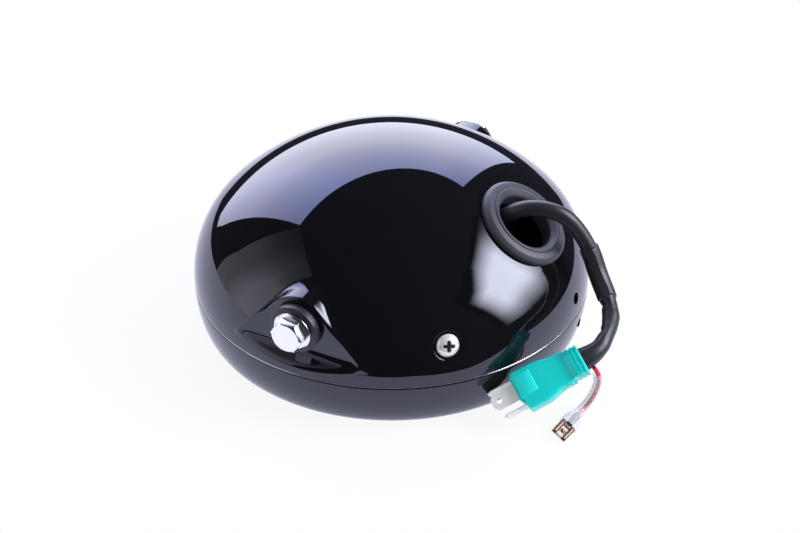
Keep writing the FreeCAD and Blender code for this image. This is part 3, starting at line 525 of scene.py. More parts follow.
def makeRing():
    sheet, fold, lipRound, seatRound = bowl["sheet"], ring["fold"], ring["lipRound"], ring["seatRound"]
    top = seam - ring["seamGap"]
    rim = ringRadius - ring["flare"]
    inner = rim - ring["rimWidth"]
    bulge = top - ring["band"]
    lipOuter, lipTop = ringRadius - sheet - ring["lipClearance"], seam + ring["lipHeight"]
    seat, seatEdge = ring["seatDepth"], inner - ring["seatWidth"]
    swell = np.linspace(0, math.pi / 2, ring["swellSteps"])
    outside = np.stack([rim + ring["flare"] * np.sin(swell), bulge - bulge * np.cos(swell)], -1)
    back = roundedProfile([(ringRadius, bulge, 0), (ringRadius, top, ring["edgeRound"]), (lipOuter, top, fold),
                           (lipOuter, lipTop, lipRound), (lipOuter - sheet, lipTop, lipRound),
                           (lipOuter - sheet, top - sheet, fold), (ringRadius - sheet, top - sheet, 0)])
    inside = outside[::-1] * (1 - sheet / ringRadius) + np.array((0, sheet / 2))
    inside = inside[inside[:, 1] < top - 2 * sheet]
    front = roundedProfile([(rim + sheet, sheet, 0), (inner + sheet, sheet, lipRound),
                            (inner + sheet, seat + sheet, lipRound), (seatEdge, seat + sheet, seatRound),
                            (seatEdge, seat, seatRound), (inner, seat, lipRound), (inner, 0, ring["rimRound"]),
                            (rim, 0, 0)])
    profile = np.concatenate([outside, back[1:], inside, front[:-1], outside[:1]])
    points, faces = turnedArrays(profile, ring["segments"])
    spoke = np.array(bowlNormal(ring["holeAzimuth"], 0))
    spot = spoke * ringRadius + np.array((0, 0, seam - ring["holeBelowSeam"]))
    kept = openHole(points, faces, spot, spoke, ring["hole"], True)
    wall = holeWall(spot, spoke, ring["hole"], ring["holeEnds"], ring["holeSegments"])
    piece = makePiece("trimRing", *joined([(points, kept), wall]), "ringPaint", sharp=50)
    return finishPiece(piece, "ring_paint", "trim_ring")


def makeSeamEdge():  # the bare edge of the sheet, bright in the seam
    turn = np.linspace(0, 2 * math.pi, ring["bareSides"])
    r, level = ring["bareEdge"], seam - ring["seamGap"] / 2 + ring["bareLift"]
    profile = np.column_stack([ringRadius - r + r * np.cos(turn), level + r * np.sin(turn)])
    piece = makePiece("seamEdge", *turnedArrays(profile, ring["segments"]), "edgeSteel")
    return finishPiece(piece, "tab_steel")


makeRing()
makeSeamEdge()
print("ring made")


# Rubber grommet

grommet = {
    "bore": 14.0, "neck": 5.0, "flange": 3.3, "height": 2.8, "land": 3.6, "wall": 2.4, "shoulder": (1.6, 0.9),
    "groove": ((0.5, 0.35, 0.15), (0.2, 0.75, 0.12), (-0.3, 0.1, 0.3), (-1.0, 0.0, 0.3)),  # out, down, round
    "bevel": 1.7, "bevelEnds": (0.5, 0.7), "innerLip": 2.4, "innerHeight": 3.0, "lift": 0.1, "fit": 0.3,
    "segments": 160,
}


def makeGrommet():
    drop = lambda r: math.sqrt(crownRadius**2 - r**2) - crownRadius  # how far the bowl falls away
    bore, high, lift = grommet["bore"], grommet["height"], grommet["lift"]
    neck, land = bore + grommet["neck"], bore + grommet["land"]
    edge, lip = neck + grommet["flange"], neck + grommet["innerLip"]
    low = drop(lip) - bowl["sheet"] - grommet["fit"]
    deep, bevel = low - grommet["innerHeight"], high - grommet["bevel"]
    (inset, down), (bevelOut, bevelDown) = grommet["shoulder"], grommet["bevelEnds"]
    profile = roundedProfile([
        (neck, drop(neck) + lift, 0), (edge, drop(edge) + lift, 0.4),
        (edge, drop(edge) + grommet["wall"], 0.7), (edge - inset, high - down, 0.5),
        *((land + x, high - z, r) for x, z, r in grommet["groove"]),
        (bore + bevelOut, bevel, 0.6), (bore, bevel - bevelDown, 0.4), (bore, deep, 0.7), (neck, deep, 0.8),
        (lip, low - grommet["innerHeight"] / 2, 0.7), (lip, low, 0.5), (neck, low, 0.4),
        (neck, drop(neck) + lift, 0)], 6)
    points, faces = turnedArrays(profile, grommet["segments"])
    place = standing(*holeSpot(bowl["grommetAzimuth"], bowl["grommetElevation"]))
    piece = makePiece("cableGrommet", moved(points, place), faces, "grommetRubber", sharp=50)
    return finishPiece(piece, "grommet_rubber", "cable_grommet")


makeGrommet()
print("grommet made")


# Fasteners: one tree sets a shape at each marked spot

def makeSpotTree():
    tree = bpy.data.node_groups.new("shapeAtSpots", "GeometryNodeTree")
    for label, kind in (("Geometry", "NodeSocketGeometry"), ("Shape", "NodeSocketObject"),
                        ("Turn", "NodeSocketFloat"), ("Finish", "NodeSocketMaterial")):
        tree.interface.new_socket(label, in_out="INPUT", socket_type=kind)
    tree.interface.new_socket("Geometry", in_out="OUTPUT", socket_type="NodeSocketGeometry")
    taken, given = tree.nodes.new("NodeGroupInput"), tree.nodes.new("NodeGroupOutput")
    axis = addNode(tree, "GeometryNodeInputNamedAttribute", {"data_type": "FLOAT_VECTOR"}, Name="axis")
    align = addNode(tree, "FunctionNodeAlignRotationToVector", {"axis": "Z"})
    spin = addNode(tree, "FunctionNodeAxisAngleToRotation", Axis=(0, 0, 1))
    turn = addNode(tree, "FunctionNodeRotateRotation", {"rotation_space": "LOCAL"})
    shape = tree.nodes.new("GeometryNodeObjectInfo")
    place = tree.nodes.new("GeometryNodeInstanceOnPoints")
    real = tree.nodes.new("GeometryNodeRealizeInstances")
    paint = tree.nodes.new("GeometryNodeSetMaterial")
    link(tree, (axis, "Attribute", align, "Vector"), (taken, "Turn", spin, "Angle"),
         (align, "Rotation", turn, "Rotation"), (spin, "Rotation", turn, "Rotate By"),
         (taken, "Shape", shape, "Object"), (taken, "Geometry", place, "Points"),
         (shape, "Geometry", place, "Instance"), (turn, "Rotation", place, "Rotation"),
         (place, "Instances", real, "Geometry"), (real, "Geometry", paint, "Geometry"),
         (taken, "Finish", paint, "Material"), (paint, "Geometry", given, "Geometry"))
    return tree


spotTree = makeSpotTree()


def evaluatedMesh(thing):
    deps = bpy.context.evaluated_depsgraph_get()
    return bpy.data.meshes.new_from_object(thing.evaluated_get(deps), depsgraph=deps)


def bakeTree(piece, tree, values):  # a plain mesh in place of the modifier
    modifier = piece.modifiers.new("shape", "NODES")
    modifier.node_group = tree
    for item in tree.interface.items_tree:
        if item.in_out == "INPUT" and item.name in values:
            modifier[item.identifier] = values[item.name]
    mesh = evaluatedMesh(piece)
    mesh.name = piece.name
    piece.modifiers.remove(modifier)
    piece.data = mesh
    return piece


def setAtSpots(name, shape, spots, finish, turn=0.0):
    mesh = bpy.data.meshes.new(name)
    mesh.from_pydata([Vector(p) * mm for p, _ in spots], [], [])
    axes = mesh.attributes.new("axis", "FLOAT_VECTOR", "POINT")
    axes.data.foreach_set("vector", [c for _, axis in spots for c in axis])
    piece = newObject(name, mesh)
    bakeTree(piece, spotTree, {"Shape": shape, "Turn": math.radians(turn), "Finish": finishes[finish]})
    bpy.data.objects.remove(shape)
    return piece


bolt = {
    "flat": 14.0, "flange": 9.3, "flangeHeight": 1.6, "flangeEdge": 0.8, "head": 5.0,
    "melt": (0.15, 0.25, 0.5), "spread": 1.02, "chamfer": 0.7, "face": 0.97, "shank": 5.0, "end": 3.0,
    "nut": 8.0, "turn": -3.4, "segments": 96,
}
spacer = {"radius": 11.7, "height": 4.5, "bore": 5.3, "edge": 0.9, "foot": (0.3, 0.5), "segments": 128}
screw = {
    "head": 5.2, "turn": 38.0, "height": 3.0, "shank": 2.5, "length": 8.5, "segments": 96,
    "cross": 5.6, "crossWidth": 1.05, "depth": 1.7, "core": 1.5,
    "slope": (0.45, 0.7, 0.6),  # of the arms, their ends and the core
    "plain": 3.4, "plainRows": 8, "crossRows": 46, "floorWidth": 0.8, "floorHeight": (0.6, 0.62),
}


def shankArrays(corners, segments):  # a turned shank that points down, closed at its end
    line = roundedProfile(corners)
    points, faces = turnedArrays(line, segments)
    return points, [f[::-1] for f in faces.tolist() + [endFace(len(line), segments)]]


def makeBoltShape():  # hexagon corners melt into the washer face, the flange below slopes
    n, half, flange = bolt["segments"], bolt["flat"] / 2, bolt["flange"]
    angles = fullTurn(n)
    lean = (angles + math.pi / 6) % (math.pi / 3) - math.pi / 6
    hexagon = half / np.cos(lean)
    corner = half / math.cos(math.pi / 6) * bolt["spread"]
    low, top = bolt["flangeHeight"], bolt["flangeHeight"] + bolt["head"]
    start, *melt = (low + up for up in bolt["melt"])
    skirt = roundedProfile([(bolt["shank"], -0.02, 0), (flange, 0.0, 0.25), (flange, bolt["flangeEdge"], 0.3),
                            (corner, start, 0.4)])
    chamfer = np.clip(top - (hexagon - half * bolt["face"]) * bolt["chamfer"], low + 1, top)
    rows = [tuple(row) for row in skirt] + [(hexagon, h) for h in melt]
    rows += [(hexagon, chamfer - 0.35), (hexagon - 0.08, chamfer - 0.1),
             (np.minimum(hexagon - 0.3, half * bolt["face"]), top), (0.4, top)]
    c, q = np.cos(angles), np.sin(angles)
    points = np.concatenate([np.stack([r * c, r * q, h + 0 * angles], -1) for r, h in rows])
    faces = gridFaces(len(rows), n).tolist() + [endFace(len(rows), n)]
    deep = spacer["height"] + bowl["sheet"] + bolt["nut"] + bolt["end"]
    shank = shankArrays([(bolt["shank"], 0, 0), (bolt["shank"], -deep, 0.8), (0.5, -deep, 0)], n)
    return makePiece("boltShape", *joined([(points, faces), shank]), "boltZinc", sharp=28)


def makeSpacerShape():
    r, h, bore, edge = (spacer[k] for k in ("radius", "height", "bore", "edge"))
    inset, up = spacer["foot"]
    profile = roundedProfile([(bore, 0, 0), (r - inset, 0, 0.2), (r, up, 0.4), (r, h, edge),
                              (bore + inset, h, 0.3), (bore, 0, 0)])
    return makePiece("spacerShape", *turnedArrays(profile, spacer["segments"]), "spacerRubber", sharp=45)


def makeScrewShape():  # a domed head with a cross recess
    n, head, high, plain = screw["segments"], screw["head"], screw["height"], screw["plain"]
    angles = fullTurn(n)
    dome = (head**2 + high**2) / (2 * high)
    radii = np.concatenate([np.linspace(head, plain, screw["plainRows"]),
                            np.linspace(plain - 0.1, 0.15, screw["crossRows"])])
    r = radii[:, None] + 0 * angles
    x, y = r * np.cos(angles), r * np.sin(angles)
    arm, long = np.minimum(np.abs(x), np.abs(y)), np.maximum(np.abs(x), np.abs(y))
    armSlope, endSlope, coreSlope = screw["slope"]
    inside = np.clip((screw["crossWidth"] * (1.15 - 0.5 * long / screw["cross"]) - arm) / armSlope, 0, 1)
    reach = np.clip((screw["cross"] / 2 - long) / endSlope, 0, 1)
    core = np.clip((screw["core"] - r) / coreSlope, 0, 1)
    h = high - dome + np.sqrt(dome**2 - r**2) - screw["depth"] * np.maximum(inside * reach, core)
    points = np.stack([x, y, h], -1).reshape(-1, 3)
    faces = gridFaces(len(radii), n).tolist() + [endFace(len(radii), n)]
    shank = shankArrays([(head, 0.03, 0), (screw["shank"], 0, 0.2), (screw["shank"], -screw["length"], 0.5),
                         (0.3, -screw["length"], 0)], n)
    return makePiece("screwShape", *joined([(points, faces), shank]), "screwChrome", sharp=40)


def makeCrossShape():  # painted shade: dark brownish plates on the floor of the cross recess
    half, wide = screw["cross"] / 2, screw["crossWidth"] * screw["floorWidth"]
    low = screw["height"] - screw["depth"]
    arms = [roundedPad(-x, x, -y, y, low, low + up)
            for x, y, up in zip((half, wide), (wide, half), screw["floorHeight"])]
    return makePiece("crossShape", *joined(arms), "recessDark", sharp=40)


def makeFasteners():
    seats = [[((side * far, 0, boltZ), Vector((side, 0, 0))) for side in (-1, 1)]
             for far in (padPlane + spacer["height"], padPlane)]
    spots = [(onBowl(a, bowl["screwElevation"], -bowl["dimpleDepth"]), bowlNormal(a, bowl["screwElevation"]))
             for a in bowl["screwAzimuths"]]
    bolts = setAtSpots("mountBolts", makeBoltShape(), seats[0], "boltZinc", bolt["turn"])
    finishPiece(bolts, "bolt_zinc", "mount_bolt_left", "mount_bolt_right")
    spacers = setAtSpots("boltSpacers", makeSpacerShape(), seats[1], "spacerRubber")
    finishPiece(spacers, "spacer_rubber", "bolt_spacer_left", "bolt_spacer_right")
    screws = setAtSpots("ringScrews", makeScrewShape(), spots, "screwChrome", screw["turn"])
    finishPiece(screws, "screw_chrome", "ring_screw_left", "ring_screw_right")
    # painted shade: dark plates in each cross recess
    crosses = setAtSpots("screwCrosses", makeCrossShape(), spots, "recessDark", screw["turn"])
    finishPiece(crosses, "screw_chrome")


makeFasteners()
print("fasteners made")


# Cable, sleeve, plug, wire and terminal

cableRoute = [
    (0.0, -0.020, 0.060), (0.0, -0.031, 0.060), (-0.0014, -0.0425, 0.0606), (-0.0028, -0.0532, 0.065),
    (-0.0039, -0.0604, 0.074), (-0.003, -0.0688, 0.0796), (-0.0008, -0.0783, 0.0809), (0.002, -0.0872, 0.0782),
    (0.0046, -0.094, 0.070), (0.005, -0.1001, 0.0605), (0.0032, -0.1049, 0.0505), (-0.0024, -0.1126, 0.043),
    (-0.0103, -0.1175, 0.0386), (-0.0213, -0.1201, 0.0366), (-0.03026, -0.11877, 0.03376),
    (-0.0343, -0.114, 0.0306),
]
wireRoute = [
    (-0.0354, -0.11977, 0.02883), (-0.0346, -0.1214, 0.0265), (-0.0325, -0.1221, 0.020),
    (-0.0315, -0.1206, 0.013), (-0.0319, -0.1186, 0.007), (-0.0346, -0.11635, 0.0032),
    (-0.03955, -0.11568, 0.0032),
]
cable = {"radius": 3.75, "length": 157.1, "resolution": 24, "bare": 9, "within": 0.82}
wire = {"radius": 1.0, "length": 33.0, "resolution": 16}


def makeCord(name, route, size, finish):
    data = bpy.data.curves.new(name, "CURVE")
    data.dimensions = "3D"
    spline = data.splines.new("NURBS")
    spline.points.add(len(route) - 1)
    for i, (point, place) in enumerate(zip(spline.points, route)):
        point.co = (*place, 1)
        covered = i > size.get("bare", len(route))  # thinner where a wrap covers it
        point.radius = size["within"] if covered else 1.0
    spline.order_u = 3
    spline.use_endpoint_u = True
    data.resolution_u = size["resolution"]
    data.bevel_depth = 0
    cord = newObject(name, data)
    line = evaluatedMesh(cord)
    path = np.array([v.co for v in line.vertices]) / mm
    bpy.data.meshes.remove(line)
    data.bevel_depth = size["radius"] * mm
    data.bevel_resolution = 10
    data.use_fill_caps = True
    data.materials.append(finishes[finish])
    return cord, path


def evenPath(path, step):  # even points along a line, with frames that don't twist
    gaps = np.linalg.norm(np.diff(path, axis=0), axis=1)
    along = np.concatenate([[0], np.cumsum(gaps)])
    s = np.linspace(0, along[-1], max(8, int(along[-1] / step)))
    points = np.stack([np.interp(s, along, path[:, i]) for i in range(3)], -1)
    ahead = unit(np.gradient(points, axis=0))
    side = [unit(np.cross(ahead[0], upAxis))]
    for direction in ahead[1:]:
        side.append(unit(side[-1] - direction * np.dot(side[-1], direction)))
    return s, points, ahead, np.array(side)


sleeve = {
    "radius": 4.65, "start": (4.9, -98.6, 63.0), "step": (-2.2, -112.3, 43.3), "mouth": (0.88, 0.45),
    "wrap": 3.9, "wrapEnd": 5.3, "flare": 9.0, "segments": 96, "spacing": 0.4,
    "left": (-0.4605, 0.8877, 0.0), "toward": (-0.7233, -0.3752, 0.5797),  # as the camera sees it
    "folds": ((0.45, 0.24), (-0.2, 0.18)), "foldWidth": 0.11, "oval": 0.14, "wrapOval": 0.12,
    "stepLean": 0.4, "stepWidth": 0.14, "pinchRound": 0.7,
    "pinches": (((-4.6, -114.1, 41.7), 1.5, 0.75, 1), ((-19.5, -119.8, 36.9), 2.0, 0.7, 1),  # place, width,
                ((-9.5, -117.0, 39.0), 3.0, -0.4, -1), ((-14.5, -118.6, 37.6), 1.1, 0.3, 1),  # depth, side
                ((-21.0, -120.0, 36.6), 5.5, 0.75, -1)),
}


def makeSleeve(path):  # a shrunk tube with folds along it, then a thinner wrap that creases in the bend
    s, points, ahead, side = evenPath(path, sleeve["spacing"])
    alongAt = lambda place: s[np.linalg.norm(points - np.array(place), axis=1).argmin()]
    start, step = alongAt(sleeve["start"]), alongAt(sleeve["step"])
    angles = fullTurn(sleeve["segments"])
    c, q = (f(angles)[None, :, None] for f in (np.cos, np.sin))
    spoke = side[:, None] * c + np.cross(ahead, side)[:, None] * q
    left, toward = spoke @ np.array(sleeve["left"]), spoke @ np.array(sleeve["toward"])
    d, a = s[:, None], angles[None, :]
    tube = sleeve["radius"] + sleeve["oval"] * np.cos(2 * a + 0.4)
    for at, high in sleeve["folds"]:
        tube = tube + high * np.exp(-(((left - at) / sleeve["foldWidth"]) ** 2)) * (toward > 0)
    wider = np.clip((d - s[-1]) / sleeve["flare"] + 1, 0, 1)
    wrap = sleeve["wrap"] + (sleeve["wrapEnd"] - sleeve["wrap"]) * wider
    wrap = wrap + sleeve["wrapOval"] * np.cos(2 * a - 0.05 * d)
    for place, wide, deep, way in sleeve["pinches"]:
        near = np.exp(-(((d - alongAt(place)) / wide) ** 2))
        wrap = wrap - deep * near * np.clip(way * left, 0, 1) ** sleeve["pinchRound"]
    first = 1 / (1 + np.exp((d - step - sleeve["stepLean"] * np.sin(2 * a)) / sleeve["stepWidth"]))
    mouth, edge = sleeve["mouth"]
    radii = (first * tube + (1 - first) * wrap) * (mouth + (1 - mouth) * np.clip((d - start) / edge, 0, 1))
    grid = (points[:, None] + spoke * radii[..., None])[s >= start]
    count, n = grid.shape[:2]
    faces = gridFaces(count, n).tolist() + [endFace(1, n)[::-1], endFace(count, n)]
    piece = makePiece("cableSleeve", grid.reshape(-1, 3), faces, "sleeveBlack", sharp=50)
    return finishPiece(piece, "sleeve_black", "cable_sleeve")


lampCable, cablePath = makeCord("lampCable", cableRoute, cable, "cableBlack")
feedWire, wirePath = makeCord("feedWire", wireRoute, wire, "wireRed")
finishPiece(lampCable, "cable_black", "lamp_cable")
finishPiece(feedWire, "wire_red", "feed_wire")
cableSleeve = makeSleeve(cablePath)
cordLengths = [float(np.linalg.norm(np.diff(p, axis=0), axis=1).sum()) for p in (cablePath, wirePath)]
print("cords made, lengths %.1f and %.1f" % tuple(cordLengths))


plug = {
    "rear": (-34.3, -114.0, 30.6), "yaw": 130.25, "pitch": 26.8, "roll": -35.4,
    "collar": (13.4, 12.0), "neck": (15.2, 9.6), "front": (19.0, 10.4),
    "collarLength": 6.0, "neckLength": 6.5, "taperLength": 9.5, "frontLength": 11.0,
    "corner": 2.0, "backChamfer": 5.0, "sideChamfer": 1.3, "cup": 2.6, "cupDepth": 2.4,
    "grooves": (1.3, 3.3), "grooveDepth": 0.9, "grooveWall": 0.2, "grooveWidth": 0.8,
    "setBack": 1.0, "setBackFrom": 0.775,
    "panel": (8.6, 10.5), "panelHeight": 0.6, "panelRoot": 0.3, "panelShift": -1.8, "notch": (2.2, 5.6),
    "ribs": 4, "ribWidth": 0.8, "ribDepth": 0.5, "ribStep": 1.9, "ribHalf": 3.0, "ribRoot": 0.8,
    "firstRib": (1.2, 0.4),
    "blade": (12.0, 8.0, 0.8), "bladeTip": 1.8, "bladeHole": 1.4, "holeFromTip": 3.6, "bladeRoot": 1.5,
    "groundLevel": 2.6, "groundOffset": -1.0, "sideOffset": 6.4, "sideLevel": -0.8,
}
plugLength = sum(plug[k] for k in ("collarLength", "neckLength", "taperLength", "frontLength"))


def plugPlace():
    turns = (("Z", "yaw"), ("Y", "pitch"), ("X", "roll"))
    place = Matrix.Translation(Vector(plug["rear"]))
    for axis, key in turns:
        place = place @ Matrix.Rotation(math.radians(plug[key]), 4, axis)
    return place


def boxLoop(width, height, corner, chamfer, count=8):  # a rounded box section with its back corners cut
    half, tall = width / 2, height / 2
    corners = [(half, -tall, min(chamfer, plug["sideChamfer"])), (half, tall, corner), (-half, tall, corner),
               (-half, -tall, chamfer)]
    split = 1 - 2 * plug["notch"][1] / plug["front"][0]  # extra points where the front's steps come
    extra = {1: [(half * f, tall) for f in (split + 0.012, split - 0.012, -0.77)],
             3: [(half * f, -tall) for f in (-0.45, split - 0.012, split + 0.012)]}
    loop = []
    for i, (y, z, cut) in enumerate(corners):
        before, after = corners[i - 1][:2], corners[(i + 1) % 4][:2]
        loop += cornerPoints(before, (y, z), after, cut, count, 0.55 if cut > 3 else 1.0)
        loop += extra.get(i, [])
    return np.array(loop)


def plugStations():  # place along the plug, width and height, share of the cut corner
    c, n, t = (plug[k] for k in ("collarLength", "neckLength", "taperLength"))
    smooth = lambda a, b, k: tuple(x + (y - x) * (k * k * (3 - 2 * k)) for x, y in zip(a, b))
    less = lambda size, cut: tuple(v - cut for v in size)
    collar, neck, front, cup = plug["collar"], plug["neck"], plug["front"], plug["cup"]
    stations = [(plug["cupDepth"], less(collar, cup), 0.4), (0.2, less(collar, cup), 0.4),
                (0.0, less(collar, cup - 0.4), 0.4), (0.0, less(collar, 0.7), 0.5),
                (0.3, less(collar, 0.1), 0.5), (0.5, collar, 0.5)]
    wall, wide, waist = plug["grooveWall"], plug["grooveWidth"], less(collar, plug["grooveDepth"])
    for x in plug["grooves"]:
        stations += [(x, collar, 0.5), (x + wall, waist, 0.5), (x + wide - wall, waist, 0.5),
                     (x + wide, collar, 0.5)]
    stations += [(c - 0.6, collar, 0.5), (c, less(collar, 0.6), 0.5)]
    stations += [(c + 0.4 + 1.2 * k, smooth(less(collar, 0.6), neck, k), 0.6) for k in (0.3, 0.6, 1.0)]
    taper, taperLength = c + n - 1.5, t + 2
    stations += [(taper, neck, 0.7)]
    stations += [(taper + taperLength * k, smooth(neck, front, k), 0.7 + 0.3 * k)
                 for k in np.linspace(0.1, 1, 10)]
    return stations + [(plugLength - plug["notch"][0], front, 1.0), (plugLength - 0.6, front, 1.0),
                       (plugLength - 0.15, less(front, 0.35), 1.0), (plugLength, less(front, 1.0), 1.0)]


def makePlugBody():
    front = plug["front"]
    rows = []
    for x, (w, h), share in plugStations():
        chamfer = min(plug["backChamfer"] * share, h / 2 - 0.3)
        loop = boxLoop(w, h, min(plug["corner"], h / 3), chamfer)
        rows.append(np.column_stack([np.full(len(loop), x), loop]))
    grid, count = np.concatenate(rows), len(rows[0])
    faces = gridFaces(len(rows), count).tolist() + [endFace(1, count)[::-1]]
    last = (len(rows) - 1) * count
    pairs = [(15 - k, k) for k in range(8)][::-1] + [(16 + k, count - 1 - k) for k in range(3)]
    pairs += [(19 + k, count - 4 - k) for k in range(8)]
    for (a, b), (e, f) in zip(pairs, pairs[1:]):  # the front face, in strips from one side to the other
        faces.append([last + b, last + a, last + e, last + f])
    notchY, notchX = front[0] / 2 - plug["notch"][1], plugLength - plug["notch"][0]
    x, y = grid[:, 0], grid[:, 1]
    beyond = (x > notchX) & (y > notchY)
    behind = (x > plugLength - plug["setBack"]) & (y < -plug["setBackFrom"] * front[0] / 2)
    grid[beyond, 0] = notchX + (x[beyond] - notchX) * 0.12  # the step beside the lower blade
    grid[behind, 0] = x[behind] - plug["setBack"]
    return finishPiece(makePiece("plugBody", moved(grid, plugPlace()), faces, "plugTeal", sharp=40),
                       "plug_teal", "plug_body")


def makePlugPanel():
    long, half = plug["panel"][0], plug["panel"][1] / 2
    start, level, middle = plugLength - long - plug["corner"] / 2, plug["front"][1] / 2, plug["panelShift"]
    points, faces = roundedPad(start, start + long, middle - half, middle + half, level - plug["panelRoot"],
                               level + plug["panelHeight"], 0.3)
    # painted highlight: the panel takes the lighter teal copy of the plug's finish
    piece = makePiece("plugPanel", moved(points, plugPlace()), faces, "plugTealLight", sharp=40)
    return finishPiece(piece, "plug_teal")


def makePlugRibs():  # grip ribs on the neck's lower side
    half, tall = plug["ribWidth"] / 2, plug["ribHalf"]
    pad = roundedPad(-half, half, -tall, tall, -plug["ribRoot"], plug["ribDepth"], 0.2)
    shape = makePiece("ribShape", *pad, "plugTeal", sharp=35)
    place = plugPlace()
    side = place.to_3x3() @ Vector((0, 1, 0))
    first, up, out = plug["collarLength"] + plug["firstRib"][0], plug["firstRib"][1], plug["neck"][0] / 2
    spots = [(place @ Vector((first + plug["ribStep"] * i, out, up)), side) for i in range(plug["ribs"])]
    return finishPiece(setAtSpots("plugRibs", shape, spots, "plugTeal"), "plug_teal")


def bladeArrays(hole):  # a flat blade with cut corners, with or without a round hole
    long, wide, thick = plug["blade"]
    half, tip, root = wide / 2, plug["bladeTip"], -plug["bladeRoot"]
    outline = [(root, -half), (long - tip, -half), (long, tip - half), (long, half - tip), (long - tip, half),
               (root, half)]
    edge = []
    for (ax, ay), (bx, by) in zip(outline, outline[1:] + outline[:1]):
        edge += [(ax + (bx - ax) * t, ay + (by - ay) * t) for t in np.linspace(0, 1, 6, endpoint=False)]
    edge = np.array(edge)
    spot = np.array((long - plug["holeFromTip"], 0.0))
    away = edge - spot
    shrunk = spot + away * 0.965
    hub = spot + (plug["bladeHole"] * unit(away) if hole else away * 0.02)
    lines = ((hub, -0.5), (shrunk, -0.5), (edge, -0.25), (edge, 0.25), (shrunk, 0.5), (hub, 0.5))
    rows = [np.column_stack([line, np.full(len(line), level * thick)]) for line, level in lines]
    if hole:
        rows.append(rows[0])
    return np.concatenate(rows), gridFaces(len(rows), len(edge)).tolist()


def makeBlades():
    ground = Matrix.Translation(Vector((plugLength, plug["groundOffset"], plug["groundLevel"])))
    places = [(ground, True)]
    for side in (1, -1):
        front = plugLength - (plug["notch"][0] if side > 0 else 0)
        upright = Matrix.Translation(Vector((front, side * plug["sideOffset"], plug["sideLevel"])))
        places.append((upright @ Matrix.Rotation(math.pi / 2, 4, "X"), False))
    parts = []
    for place, hole in places:
        points, faces = bladeArrays(hole)
        parts.append((moved(points, plugPlace() @ place), faces))
    piece = makePiece("plugBlades", *joined(parts), "bladeTin", sharp=25)
    return finishPiece(piece, "blade_tin", "plug_blade_ground", "plug_blade_low", "plug_blade_high")


plugPanel = makePlugPanel()
plugBody = makePlugBody()
plugRibs = makePlugRibs()
plugBlades = makeBlades()
print("plug made")


terminal = {
    "yaw": 172.3, "roll": -28.0, "front": (-56.4, -113.4, 3.2), "length": 17.0, "box": 8.5, "width": 7.6,
    "height": 2.6, "plate": 0.45, "edge": 0.14, "curl": 1.15, "curlTurn": (-90, 200, 15),
    "bar": 1.4, "bridge": 2.4, "rail": 1.2, "dimple": ((1.0, 0.0), (0.8, 0.3), (0.45, 0.5), (0.1, 0.55)),
    "dimpleSides": 20,
    "crimp": 1.7, "crimpGap": 0.6, "crimpRows": 60, "crimpSides": 32, "crimpFlat": 0.85, "crimpDrop": 0.1,
    "crimpStep": (0.62, 0.9), "ridges": 7,
}
boot = {
    "width": 8.6, "height": 5.0, "wireWidth": 4.0, "wireHeight": 3.2, "along": 28.0, "grow": 9.0, "shift": 0.8,
    "reach": 9.2, "floor": 0.15, "wall": 0.35, "square": 0.7, "spacing": 0.7, "segments": 40,
}


def terminalPlace():
    along = Matrix.Rotation(math.radians(terminal["yaw"]), 4, "Z")
    rear = Vector(terminal["front"]) - along.to_3x3() @ Vector((terminal["length"], 0, 0))
    return Matrix.Translation(rear) @ along @ Matrix.Rotation(math.radians(terminal["roll"]), 4, "X")


def makeTerminal():  # rolled rails on a floor with two windows and a dimple, a ribbed crimp behind
    start, end = terminal["length"] - terminal["box"], terminal["length"]
    half, low, plate = terminal["width"] / 2, -terminal["height"] / 2, terminal["plate"]
    bar, middle, bridge = terminal["bar"], (start + end) / 2, terminal["bridge"] / 2
    inner, r = half - terminal["rail"], terminal["curl"]
    bars = ((start, start + bar, -half, half), (end - bar, end, -half, half),
            (middle - bridge, middle + bridge, -half, half), (start, end, -half, -inner),
            (start, end, inner, half))
    parts = [roundedPad(*sides, low, low + plate, terminal["edge"]) for sides in bars]
    angles = np.radians(np.linspace(*terminal["curlTurn"]))
    n = 2 * len(angles)
    for side in (-1, 1):
        curl = [(x, side * (half - r + q * math.cos(a)), low + r + q * math.sin(a)) for x in (start, end)
                for q, turn in ((r, angles), (r - plate, angles[::-1])) for a in turn]
        faces = gridFaces(2, n).tolist() + [endFace(1, n)[::-1], endFace(2, n)]
        parts.append((curl, faces if side > 0 else [f[::-1] for f in faces]))
    dimple, sides = np.array(terminal["dimple"]), terminal["dimpleSides"]
    cap, capFaces = turnedArrays(dimple, sides)
    parts.append((cap + np.array((middle, 0, low + plate)), capFaces.tolist() + [endFace(len(dimple), sides)]))
    rows, n = terminal["crimpRows"], terminal["crimpSides"]
    s = np.linspace(0, start - terminal["crimpGap"], rows)[:, None]
    swell = terminal["crimp"] * (0.92 + 0.1 * np.cos(s / s[-1] * 2 * math.pi * terminal["ridges"]))
    stepAt, less = terminal["crimpStep"]
    swell[s > start * stepAt] *= less
    turn = fullTurn(n)
    level = swell * np.sin(turn) * terminal["crimpFlat"] - terminal["crimpDrop"]
    barrel = np.stack([s + 0 * turn, swell * np.cos(turn), level], -1)
    faces = gridFaces(rows, n).tolist() + [endFace(1, n)[::-1], endFace(rows, n)]
    parts.append((barrel.reshape(-1, 3), [f[::-1] for f in faces]))
    points, faces = joined(parts)
    piece = makePiece("spadeTerminal", moved(points, terminalPlace()), faces, "terminalBronze", sharp=35)
    return finishPiece(piece, "terminal_bronze", "spade_terminal")


